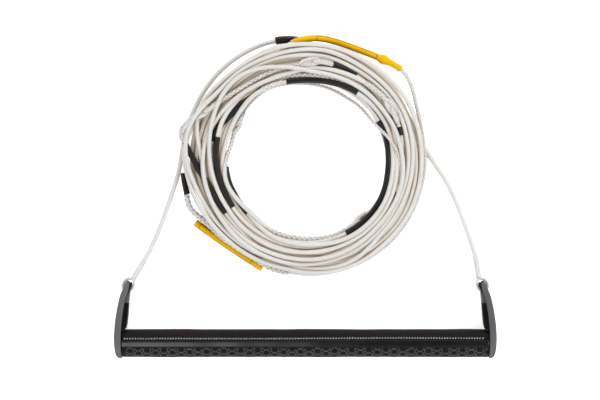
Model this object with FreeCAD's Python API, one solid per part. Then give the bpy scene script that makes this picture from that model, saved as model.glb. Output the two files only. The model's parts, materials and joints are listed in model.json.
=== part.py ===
import FreeCAD, Part
import math
import os

from FreeCAD import Vector

# Tow rope handle lying flat on a surface, with its bridle and its coiled tow line.
# Millimetres. X runs along the bar, Y from the bar towards the rope, Z up from the surface.
# The origin is under the middle of the stiff handle, on the surface.

# Bar and grip
GRIP_LENGTH = 380.0
GRIP_RADIUS = 14.5
TUBE_RADIUS = 12.7
TUBE_WALL = 1.6
PANEL_GAP = 0.4
SEAM_ANGLE = 21.0

# Arms, seen along X: a drop shape between a round bar end and a round tip
BAR_END_RADIUS = 16.0
TIP_RADIUS = 9.5
TIP_HOLE_RADIUS = 4.0
TIP_REACH = 55.0
ARM_WIDTH = 7.5
ARM_LEAN = 10.4
ARM_TIP_WIDTH = 7.6

# Spigot that joins an arm to the tube
SPIGOT_LENGTH = 36.0
SPIGOT_RADIUS = 11.05
SPIGOT_BORE = 7.0
SEAL_SECTION = 1.2
SEAL_INSET = 8.0
PIN_RADIUS = 2.0
PIN_INSET = 24.0
PIN_LENGTH = 25.0

# Finger pad inside each arm
PAD_BOTTOM_WIDTH = 4.8
PAD_TOP_WIDTH = 4.4
PAD_TOP = 41.9
PAD_FOOT = 2.6
PAD_INSET = 1.5

# Seam thread
THREAD_RADIUS = 0.35
STITCH_PITCH = 2.8
STITCH_LENGTH = 2.3
STITCH_SLANT = 55.0
STITCH_MARGIN = 2.5
THREAD_LIFT = 0.05

# Rope and what is on it
ROPE_RADIUS = 2.4
EYE_ROPE_RADIUS = 1.9
SLEEVE_RADIUS = 3.1
LABEL_RADIUS = 3.5
BRAID_RADIUS = 3.2
JOINT_RADIUS = 4.2

# Coil of the tow line, an oval ring
COIL_CENTRE = (0.0, 166.0)
COIL_OUTER = (127.5, 121.0)
COIL_INNER = (80.0, 78.5)
COIL_HEIGHT = 21.0
COIL_TOP_ROUND = 8.0
COIL_FOOT_ROUND = 4.0

# The bar's axis, placed so that the arms' box is centred on the origin in Y and stands on Z = 0
BAR_Y = -(TIP_REACH + TIP_RADIUS - BAR_END_RADIUS) / 2
BAR_Z = BAR_END_RADIUS
TIP_Y = BAR_Y + TIP_REACH
TIP_Z = TIP_RADIUS
HALF_GRIP = GRIP_LENGTH / 2

# The right bridle eye, from the middle of the tip hole round the tip and back: x, y
EYE_ROUTE = [
    (187.0, TIP_Y), (180.6, TIP_Y), (177.0, TIP_Y + 7.0), (176.8, TIP_Y + 12.4), (181.0, TIP_Y + 16.6),
    (188.0, TIP_Y + 16.8), (193.0, TIP_Y + 13.0), (193.6, TIP_Y + 6.0), (193.4, TIP_Y), (187.0, TIP_Y),
]

# Routes of the ropes that aren't coiled: x, y, z of the points where their runs meet
BRIDLE_ROUTE = [
    (-179.4, 45.0, 9.5), (-172.4, 57.5, 6.2), (-161.8, 81.0, 3.0), (-150.0, 101.0, 2.5),
    (-141.7, 121.0, 2.5), (-133.9, 148.7, 2.5), (-128.4, 166.0, 2.5), (-125.6, 186.0, 2.5),
    (-119.4, 205.0, 2.5), (-108.0, 228.6, 2.5), (-93.5, 249.4, 2.5), (-75.9, 267.0, 2.5),
    (-57.3, 279.6, 2.5), (-38.7, 287.8, 3.2), (-21.1, 290.3, 3.3), (-4.5, 289.4, 3.2),
    (15.0, 284.0, 2.5), (41.0, 274.0, 2.5), (64.8, 259.5, 2.5), (86.5, 239.0, 2.5),
    (104.5, 213.5, 2.5), (116.5, 191.0, 2.5), (127.6, 171.5, 2.5), (142.6, 148.7, 2.5),
    (154.6, 124.9, 2.5), (164.8, 97.2, 2.5), (173.6, 73.5, 3.0), (178.0, 57.0, 6.2),
    (179.4, 45.0, 9.5),
]
LEAD_ROUTE = [
    (-26.0, 279.5, 11.5), (-14.5, 287.0, 11.6), (0.5, 291.6, 11.2), (15.0, 292.3, 8.0),
    (31.0, 289.6, 4.6), (48.5, 284.3, 3.8), (66.5, 277.0, 3.8), (82.5, 268.4, 3.8),
    (97.5, 259.0, 3.7), (109.0, 247.6, 3.4), (115.4, 231.5, 4.0), (119.5, 214.0, 6.0),
    (122.4, 196.5, 7.6), (123.0, 178.0, 7.8),
]
TOW_LOOP_ROUTE = [
    (-66.5, 208.0, 11.0), (-71.5, 196.0, 9.0), (-74.5, 180.5, 7.0), (-75.5, 164.0, 6.0),
    (-73.0, 148.5, 6.0), (-67.0, 136.0, 6.0),
]

# Sleeves on the rope, each along its own short route
APEX_SLEEVE_ROUTE = [(-30.0, 289.4, 3.3), (-19.0, 290.6, 3.3), (-5.5, 289.6, 3.3)]
LEAD_LABEL_ROUTE = [
    (-23.0, 281.6, 11.5), (-13.0, 287.6, 11.6), (0.5, 291.6, 11.2), (15.0, 292.3, 8.0),
    (31.0, 289.6, 4.6), (48.5, 284.3, 3.8), (66.5, 277.0, 3.8), (82.5, 268.4, 3.8),
    (95.5, 260.4, 3.7),
]
LOWER_LABEL_ROUTE = [(-112.5, 100.8, 3.8), (-78.3, 76.9, 3.6), (-43.5, 53.4, 3.8)]

SECTION_SLEEVES = {
    "sleeve_top_outer": [(26.5, 265.9, 19.0), (39.0, 260.4, 19.0), (51.5, 253.6, 18.0)],
    "sleeve_top_inner": [(-24.4, 247.0, 17.0), (-4.0, 247.6, 17.0), (16.0, 246.6, 17.5), (30.0, 243.6, 18.0)],
    "sleeve_top_right": [(30.5, 246.0, 19.5), (43.0, 241.0, 18.5), (56.0, 233.0, 17.5)],
    "sleeve_upper_left": [(-55.0, 237.0, 15.5), (-69.0, 227.3, 18.0), (-83.2, 211.8, 18.5), (-94.5, 193.5, 18.0)],
    "sleeve_left_diagonal": [(-117.5, 181.0, 18.5), (-112.0, 164.0, 18.0), (-102.0, 143.5, 17.0),
                             (-95.0, 129.0, 16.0)],
    "sleeve_left_middle": [(-91.4, 192.2, 18.0), (-90.0, 170.4, 18.5), (-86.0, 145.0, 18.5), (-79.5, 125.0, 17.0)],
    "sleeve_left_inner": [(-80.0, 152.0, 10.0), (-75.9, 138.5, 11.0), (-67.5, 122.5, 13.0), (-56.8, 108.0, 14.0)],
    "sleeve_left_outer": [(-125.0, 149.7, 8.5), (-123.4, 140.0, 8.5), (-120.0, 130.0, 8.5)],
    "sleeve_right_inner": [(77.8, 189.5, 13.0), (82.2, 172.0, 14.5), (82.0, 152.5, 15.0), (77.2, 132.5, 15.0),
                           (67.0, 115.0, 15.0), (54.0, 101.8, 14.5), (41.5, 91.5, 14.0)],
    "sleeve_right_middle": [(93.6, 206.5, 17.0), (97.0, 200.0, 17.0), (99.6, 192.0, 16.5)],
}

BRAIDED_JOINTS = {
    "joint_top": [(-5.5, 262.5, 19.0), (11.0, 268.3, 20.0), (24.5, 266.6, 19.5)],
    "joint_right": [(80.5, 223.5, 17.5), (90.0, 216.0, 18.5), (96.0, 205.5, 17.5)],
    "joint_left": [(-95.6, 224.3, 17.5), (-111.0, 213.5, 18.0), (-122.5, 201.5, 17.0), (-125.5, 189.0, 15.5)],
    "joint_inner_left": [(-58.5, 221.5, 12.0), (-63.0, 212.0, 13.0), (-66.5, 201.0, 12.0)],
    "joint_lower_right": [(69.5, 112.0, 8.0), (55.5, 99.5, 8.0), (40.0, 90.5, 8.0)],
    "joint_lower_left": [(-120.0, 127.0, 8.5), (-114.5, 113.0, 8.5), (-103.0, 101.0, 9.0), (-81.0, 82.0, 9.0),
                         (-56.0, 65.5, 9.0), (-27.0, 54.0, 8.5)],
}


def bar_cylinder(radius, x_from, x_to):
    """A cylinder round the bar's axis."""
    return Part.makeCylinder(radius, x_to - x_from, Vector(x_from, BAR_Y, BAR_Z), Vector(1, 0, 0))


def arc_path(points):
    """Straight runs joined by the largest tangent arcs that they allow, and the smallest arc's radius."""
    corners = [Vector(*point) for point in points]
    edges = []
    radii = []
    start = corners[0]
    for before, corner, after in zip(corners, corners[1:], corners[2:]):
        into = (corner - before).normalize()
        out = (after - corner).normalize()
        trim = 0.45 * min(before.distanceToPoint(corner), corner.distanceToPoint(after))
        turn = into.getAngle(out)
        radii.append(trim / math.tan(turn / 2))
        arc_start = corner - into * trim
        arc_end = corner + out * trim
        to_centre = (out - into).normalize()
        arc_middle = corner + to_centre * (radii[-1] / math.cos(turn / 2) - radii[-1])
        edges.append(Part.LineSegment(start, arc_start).toShape())
        edges.append(Part.Arc(arc_start, arc_middle, arc_end).toShape())
        start = arc_end
    edges.append(Part.LineSegment(start, corners[-1]).toShape())
    return Part.Wire(edges), min(radii)


def tube_along(points, radius, label=None):
    """A round solid along a route. Its volume must be its section times its length."""
    path, tightest = arc_path(points)
    first = Vector(*points[0])
    direction = Vector(*points[1]) - first
    section = Part.Wire([Part.makeCircle(radius, first, direction)])
    solid = path.makePipeShell([section], True, False)
    expected = math.pi * radius ** 2 * path.Length
    if label:
        print(f"{label}: length {path.Length:.1f}, tightest radius {tightest:.1f},"
              f" volume ratio {solid.Volume / expected:.4f}")
    return solid


def sleeve_along(points, radius, label):
    """A thin sleeve round the rope along a route."""
    return tube_along(points, radius, label).cut(tube_along(points, ROPE_RADIUS))


def drop_shape(inset, x_from, x_to):
    """The arms' outline seen along X, drawn smaller by the inset, as a solid from one X to another."""
    big = BAR_END_RADIUS - inset
    small = TIP_RADIUS - inset
    along = Vector(0, TIP_REACH, TIP_Z - BAR_Z)
    lean = math.atan2(along.z, along.y)
    flare = math.asin((big - small) / along.Length)
    bar = Vector(x_from, BAR_Y, BAR_Z)
    tip = Vector(x_from, TIP_Y, TIP_Z)

    def rim(centre, radius, angle):
        return centre + Vector(0, math.cos(angle), math.sin(angle)) * radius

    upper = lean + math.pi / 2 - flare
    lower = lean - math.pi / 2 + flare
    outline = Part.Wire([
        Part.LineSegment(rim(bar, big, upper), rim(tip, small, upper)).toShape(),
        Part.Arc(rim(tip, small, upper), rim(tip, small, lean), rim(tip, small, lower)).toShape(),
        Part.LineSegment(rim(tip, small, lower), rim(bar, big, lower)).toShape(),
        Part.Arc(rim(bar, big, lower), rim(bar, big, lean + math.pi), rim(bar, big, upper)).toShape(),
    ])
    return Part.Face(outline).extrude(Vector(x_to - x_from, 0, 0))


def right_arm_plan():
    """The right arm seen from above: it leans in over the bar's end and keeps its width."""
    low = BAR_Y - BAR_END_RADIUS
    high = TIP_Y + TIP_RADIUS
    inner = HALF_GRIP
    outer = HALF_GRIP + ARM_WIDTH
    inner_low = Vector(inner, low, 0)
    inner_bend = Vector(inner, BAR_Y + 20, 0)
    inner_middle = Vector(inner - 2.7, BAR_Y + 41, 0)
    inner_high = Vector(inner - ARM_LEAN, high, 0)
    outer_high = Vector(inner_high.x + ARM_TIP_WIDTH, high, 0)
    outer_middle = Vector(outer - 2.8, BAR_Y + 36, 0)
    outer_bend = Vector(outer, BAR_Y + 5, 0)
    outer_foot = Vector(outer, BAR_Y - 6, 0)
    outer_round = Vector(outer - 1.9, BAR_Y - 12.4, 0)
    outer_low = Vector(outer - 7.0, low, 0)
    outline = Part.Wire([
        Part.LineSegment(inner_low, inner_bend).toShape(),
        Part.Arc(inner_bend, inner_middle, inner_high).toShape(),
        Part.LineSegment(inner_high, outer_high).toShape(),
        Part.Arc(outer_high, outer_middle, outer_bend).toShape(),
        Part.LineSegment(outer_bend, outer_foot).toShape(),
        Part.Arc(outer_foot, outer_round, outer_low).toShape(),
        Part.LineSegment(outer_low, inner_low).toShape(),
    ])
    return Part.Face(outline).extrude(Vector(0, 0, 2 * BAR_END_RADIUS))


def right_arm():
    """Blade with the rope hole, and the spigot that goes into the tube."""
    blade = right_arm_plan().common(drop_shape(0.0, HALF_GRIP - ARM_LEAN - 5, HALF_GRIP + ARM_WIDTH + 5))
    hole = Part.makeCylinder(TIP_HOLE_RADIUS, 60, Vector(HALF_GRIP - 40, TIP_Y, TIP_Z), Vector(1, 0, 0))
    blade = blade.cut(hole)
    inner_end = HALF_GRIP - SPIGOT_LENGTH
    spigot = bar_cylinder(SPIGOT_RADIUS, inner_end, HALF_GRIP)
    arm = blade.fuse(spigot).cut(bar_cylinder(SPIGOT_BORE, inner_end, HALF_GRIP))
    seal_x = HALF_GRIP - SEAL_INSET
    groove = bar_cylinder(SPIGOT_RADIUS, seal_x - SEAL_SECTION, seal_x + SEAL_SECTION)
    groove = groove.cut(bar_cylinder(SPIGOT_RADIUS - 2 * SEAL_SECTION, seal_x - SEAL_SECTION, seal_x + SEAL_SECTION))
    return arm.cut(groove).cut(pin_cylinder(PIN_RADIUS, 2 * TUBE_RADIUS)).removeSplitter()


def pin_cylinder(radius, length):
    """A vertical cylinder through the bar where the right arm's cross pin goes."""
    base = Vector(HALF_GRIP - PIN_INSET, BAR_Y, BAR_Z - length / 2)
    return Part.makeCylinder(radius, length, base, Vector(0, 0, 1))


def right_seal():
    """O-ring in the spigot's groove."""
    ring_radius = SPIGOT_RADIUS - SEAL_SECTION
    centre = Vector(HALF_GRIP - SEAL_INSET, BAR_Y, BAR_Z)
    return Part.makeTorus(ring_radius, SEAL_SECTION * 0.98, centre, Vector(1, 0, 0))


def right_pad(arm):
    """Finger pad on the arm's inner face, from the top of the grip up to the rope end."""
    foot = BAR_Y + GRIP_RADIUS - 2
    step = BAR_Y + GRIP_RADIUS + PAD_FOOT + 1.5
    inner = HALF_GRIP - PAD_BOTTOM_WIDTH
    outline = [
        (HALF_GRIP + 2, foot), (inner - PAD_FOOT, foot), (inner - PAD_FOOT, step - PAD_FOOT), (inner, step),
        (HALF_GRIP - 2.8 - PAD_TOP_WIDTH, BAR_Y + PAD_TOP), (HALF_GRIP + 2, BAR_Y + PAD_TOP),
    ]
    corners = [Vector(x, y, 0) for x, y in outline]
    plan = Part.Face(Part.makePolygon(corners + corners[:1])).extrude(Vector(0, 0, 2 * BAR_END_RADIUS))
    pad = plan.common(drop_shape(PAD_INSET, HALF_GRIP - 20, HALF_GRIP + 5))
    pad = pad.cut(bar_cylinder(GRIP_RADIUS, HALF_GRIP - 20, HALF_GRIP + 5)).cut(arm)
    return max(pad.Solids, key=lambda solid: solid.Volume)


def mirrored(shape):
    """The same piece at the other end of the bar."""
    return shape.mirror(Vector(0, 0, 0), Vector(1, 0, 0))


def core_tube():
    tube = bar_cylinder(TUBE_RADIUS, -HALF_GRIP, HALF_GRIP)
    tube = tube.cut(bar_cylinder(TUBE_RADIUS - TUBE_WALL, -HALF_GRIP, HALF_GRIP))
    pin_hole = pin_cylinder(PIN_RADIUS, 3 * TUBE_RADIUS)
    return tube.cut(pin_hole).cut(mirrored(pin_hole))


def float_core():
    inside = TUBE_RADIUS - TUBE_WALL - 0.1
    end = HALF_GRIP - SPIGOT_LENGTH - 0.5
    return bar_cylinder(inside, -end, end)


def half_ring(rise):
    """Half of the grip's covering. Its two edges are at the seams, and rise is +1 or -1 for its side."""
    ring = bar_cylinder(GRIP_RADIUS, -HALF_GRIP, HALF_GRIP)
    ring = ring.cut(bar_cylinder(TUBE_RADIUS, -HALF_GRIP, HALF_GRIP))
    depth = 2 * GRIP_RADIUS
    box = Part.makeBox(GRIP_LENGTH, depth, 2 * depth, Vector(-HALF_GRIP, PANEL_GAP / 2, -depth))
    if rise < 0:
        box = box.mirror(Vector(0, 0, 0), Vector(0, 1, 0))
    box.rotate(Vector(0, 0, 0), Vector(1, 0, 0), -SEAM_ANGLE)
    box.translate(Vector(0, BAR_Y, BAR_Z))
    return ring.common(box)


def seam_thread(turn):
    """Slanting stitches over a seam, turned round the bar from its top by an angle."""
    count = int((GRIP_LENGTH - 2 * STITCH_MARGIN) / STITCH_PITCH)
    lift = GRIP_RADIUS + THREAD_RADIUS + THREAD_LIFT
    slant = math.radians(STITCH_SLANT)
    direction = Vector(math.cos(slant), math.sin(slant), 0)
    stitches = []
    for index in range(count):
        middle = Vector((index - (count - 1) / 2) * STITCH_PITCH, 0, lift)
        start = middle - direction * (STITCH_LENGTH / 2)
        stitches.append(Part.makeCylinder(THREAD_RADIUS, STITCH_LENGTH, start, direction))
    row = Part.makeCompound(stitches)
    row.rotate(Vector(0, 0, 0), Vector(1, 0, 0), -turn)
    row.translate(Vector(0, BAR_Y, BAR_Z))
    return row


def bridle_eye(side):
    """Closed loop of rope through an arm's tip hole: side is +1 right, -1 left."""
    path, tightest = arc_path([(x, y, TIP_Z) for x, y in EYE_ROUTE])
    print(f"bridle_eye: length {path.Length:.1f}, tightest radius {tightest:.1f}")
    start = Vector(*EYE_ROUTE[0], TIP_Z)
    section = Part.Wire([Part.makeCircle(EYE_ROPE_RADIUS, start, Vector(1, 0, 0))])
    eye = path.makePipeShell([section], True, False)
    return eye if side > 0 else mirrored(eye)


def mainline_coil():
    """Outer shape of the coiled tow line: an oval ring with rounded edges."""
    def oval(radii):
        ellipse = Part.Ellipse(Vector(*COIL_CENTRE, 0), *radii)
        return Part.Face(Part.Wire([ellipse.toShape()])).extrude(Vector(0, 0, COIL_HEIGHT))

    ring = oval(COIL_OUTER).cut(oval(COIL_INNER))
    rims = [edge for edge in ring.Edges if edge.Closed]
    top = [edge for edge in rims if edge.CenterOfMass.z > COIL_HEIGHT / 2]
    ring = ring.makeFillet(COIL_TOP_ROUND, top)
    foot = [edge for edge in ring.Edges if edge.Closed and edge.CenterOfMass.z < 0.01]
    return ring.makeFillet(COIL_FOOT_ROUND, foot)


def build():
    """Every node's name and shape."""
    arm = right_arm()
    pad = right_pad(arm)
    seal = right_seal()
    pin = pin_cylinder(PIN_RADIUS, PIN_LENGTH)
    parts = {
        "core_tube": core_tube(),
        "float_core": float_core(),
        "grip_panel_plain": half_ring(1),
        "grip_panel_patterned": half_ring(-1),
        "seam_thread_top": seam_thread(SEAM_ANGLE),
        "seam_thread_under": seam_thread(SEAM_ANGLE + 180),
        "bridle_rope": tube_along(BRIDLE_ROUTE, ROPE_RADIUS, "bridle_rope"),
        "bridle_apex_sleeve": sleeve_along(APEX_SLEEVE_ROUTE, SLEEVE_RADIUS, "bridle_apex_sleeve"),
        "mainline_lead": tube_along(LEAD_ROUTE, ROPE_RADIUS, "mainline_lead"),
        "lead_label_sleeve": sleeve_along(LEAD_LABEL_ROUTE, LABEL_RADIUS, "lead_label_sleeve"),
        "lower_label_sleeve": sleeve_along(LOWER_LABEL_ROUTE, LABEL_RADIUS, "lower_label_sleeve"),
        "tow_loop": tube_along(TOW_LOOP_ROUTE, BRAID_RADIUS, "tow_loop"),
        "mainline_coil": mainline_coil(),
    }
    for side, sign in (("right", 1), ("left", -1)):
        parts[f"bridle_eye_{side}"] = bridle_eye(sign)
        for name, shape in (("arm", arm), ("arm_pad", pad), ("spigot_seal", seal), ("cross_pin", pin)):
            parts[f"{name}_{side}"] = shape if sign > 0 else mirrored(shape)
    for name, route in SECTION_SLEEVES.items():
        parts[name] = sleeve_along(route, SLEEVE_RADIUS, name)
    for name, route in BRAIDED_JOINTS.items():
        radius = BRAID_RADIUS if name == "joint_lower_left" else JOINT_RADIUS
        parts[name] = tube_along(route, radius, name)
    return parts


os.makedirs("parts", exist_ok=True)
for node, shape in build().items():
    print(f"{node}: solids {len(shape.Solids)}, valid {shape.isValid()}, volume {shape.Volume:.0f}")
    shape.exportStep(f"parts/{node}.step")
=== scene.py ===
import json
import math

import bmesh
import bpy
import numpy as np
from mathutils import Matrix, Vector

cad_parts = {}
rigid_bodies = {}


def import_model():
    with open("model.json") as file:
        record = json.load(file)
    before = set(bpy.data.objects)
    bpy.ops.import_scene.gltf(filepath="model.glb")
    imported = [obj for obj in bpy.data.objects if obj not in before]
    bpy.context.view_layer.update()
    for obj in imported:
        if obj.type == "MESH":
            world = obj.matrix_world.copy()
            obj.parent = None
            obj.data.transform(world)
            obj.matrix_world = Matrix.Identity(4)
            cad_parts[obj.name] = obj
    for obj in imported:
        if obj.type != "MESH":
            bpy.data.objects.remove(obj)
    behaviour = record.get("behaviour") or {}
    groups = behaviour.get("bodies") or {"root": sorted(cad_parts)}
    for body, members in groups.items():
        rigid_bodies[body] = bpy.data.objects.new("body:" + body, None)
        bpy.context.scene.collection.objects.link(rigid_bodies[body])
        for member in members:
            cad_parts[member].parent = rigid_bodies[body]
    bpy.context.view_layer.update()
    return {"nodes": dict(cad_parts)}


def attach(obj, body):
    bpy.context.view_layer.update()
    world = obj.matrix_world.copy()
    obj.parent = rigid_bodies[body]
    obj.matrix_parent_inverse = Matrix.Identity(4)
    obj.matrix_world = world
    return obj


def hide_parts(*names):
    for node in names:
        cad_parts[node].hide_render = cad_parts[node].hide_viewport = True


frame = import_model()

MM = 0.001
TAU = 2 * math.pi

# Sizes in millimetres, as in the CAD model
ROPE_R = 2.4
BAR_Y, BAR_Z = -24.25, 16.0
TIP_Y, TIP_Z = 30.75, 9.5
HALF_GRIP = 190.0
GRIP_R = 14.5
COIL_X, COIL_Y = 0.7, 166.3

# ---------------------------------------------------------------- routes of the uncoiled ropes

BRIDLE_ROUTE = [
    (-178.8, 42.0, 9.5), (-172.6, 52.0, 7.0), (-163.9, 66.6, 3.6), (-157.0, 81.2, 2.6),
    (-150.8, 95.8, 2.5), (-145.6, 110.3, 2.5), (-140.4, 124.9, 2.5), (-135.8, 139.5, 2.5),
    (-131.8, 152.0, 2.5), (-129.2, 168.0, 2.5), (-126.2, 187.0, 2.5), (-120.8, 205.8, 2.5),
    (-110.2, 230.3, 2.5), (-95.0, 252.5, 2.5), (-75.1, 270.6, 2.5), (-51.8, 283.6, 2.5),
    (-32.0, 289.7, 3.2), (-16.5, 291.0, 3.3), (-3.0, 289.4, 3.2), (15.0, 284.0, 2.5),
    (41.0, 274.0, 2.5), (64.8, 259.5, 2.5), (86.5, 239.0, 2.5), (104.5, 213.5, 2.5),
    (116.5, 191.0, 2.5), (127.6, 171.5, 2.5), (143.4, 148.7, 2.5), (156.0, 124.9, 2.5),
    (166.4, 97.2, 2.5), (174.8, 73.5, 3.0), (178.6, 57.0, 6.2), (179.8, 43.0, 9.5),
]
LEAD_ROUTE = [
    (-26.0, 279.5, 11.5), (-14.5, 287.0, 11.6), (0.5, 291.6, 11.2), (15.0, 292.3, 8.0),
    (31.0, 289.0, 5.0), (48.5, 282.8, 4.6), (66.5, 276.0, 5.0), (82.5, 269.6, 5.4),
    (98.6, 261.2, 4.2), (107.6, 251.0, 3.4), (113.0, 234.3, 4.0), (117.2, 214.8, 6.0),
    (121.6, 197.0, 7.6), (124.0, 178.0, 7.8),
]

# ---------------------------------------------------------------- the coil

# The line winds clockwise. A row is the angle around the coil in degrees, the distance from the
# coil's centre in mm and the level in the pile; between rows the line runs evenly, with falling angle.
FIRST_TURN = [
    (0, 124.0, 1.5), (345, 122.6, 1.8), (320, 122.0, 1.8), (300, 121.6, 1.4), (285, 120.6, 0.8),
    (260, 119.4, 0.2), (240, 119.0, 0.0),
]
# The layers underneath, from the outside in and back: start and end as shares of the width, turns, level
BED_LAYERS = [(1.0, 0.0, 7, 0), (0.0, 1.0, 6, 1), (1.0, 0.0, 6, 2)]
# Rows to a turn of those layers, the size of their two slow swings and of their random wander, in mm
BED_ROWS = 12
BED_SWINGS = (0.9, 0.6)
BED_WANDER = 0.4
# Inner and outer edge of those layers at angles round the coil
BED_EDGES = [
    (0, 87.0, 118.0), (45, 85.0, 115.5), (90, 86.0, 115.5), (135, 88.0, 114.5), (165, 86.0, 120.0),
    (190, 88.0, 118.5), (228, 88.0, 111.5), (260, 89.5, 111.0), (300, 90.5, 116.5), (330, 90.0, 118.5),
    (360, 87.0, 118.0),
]
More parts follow.
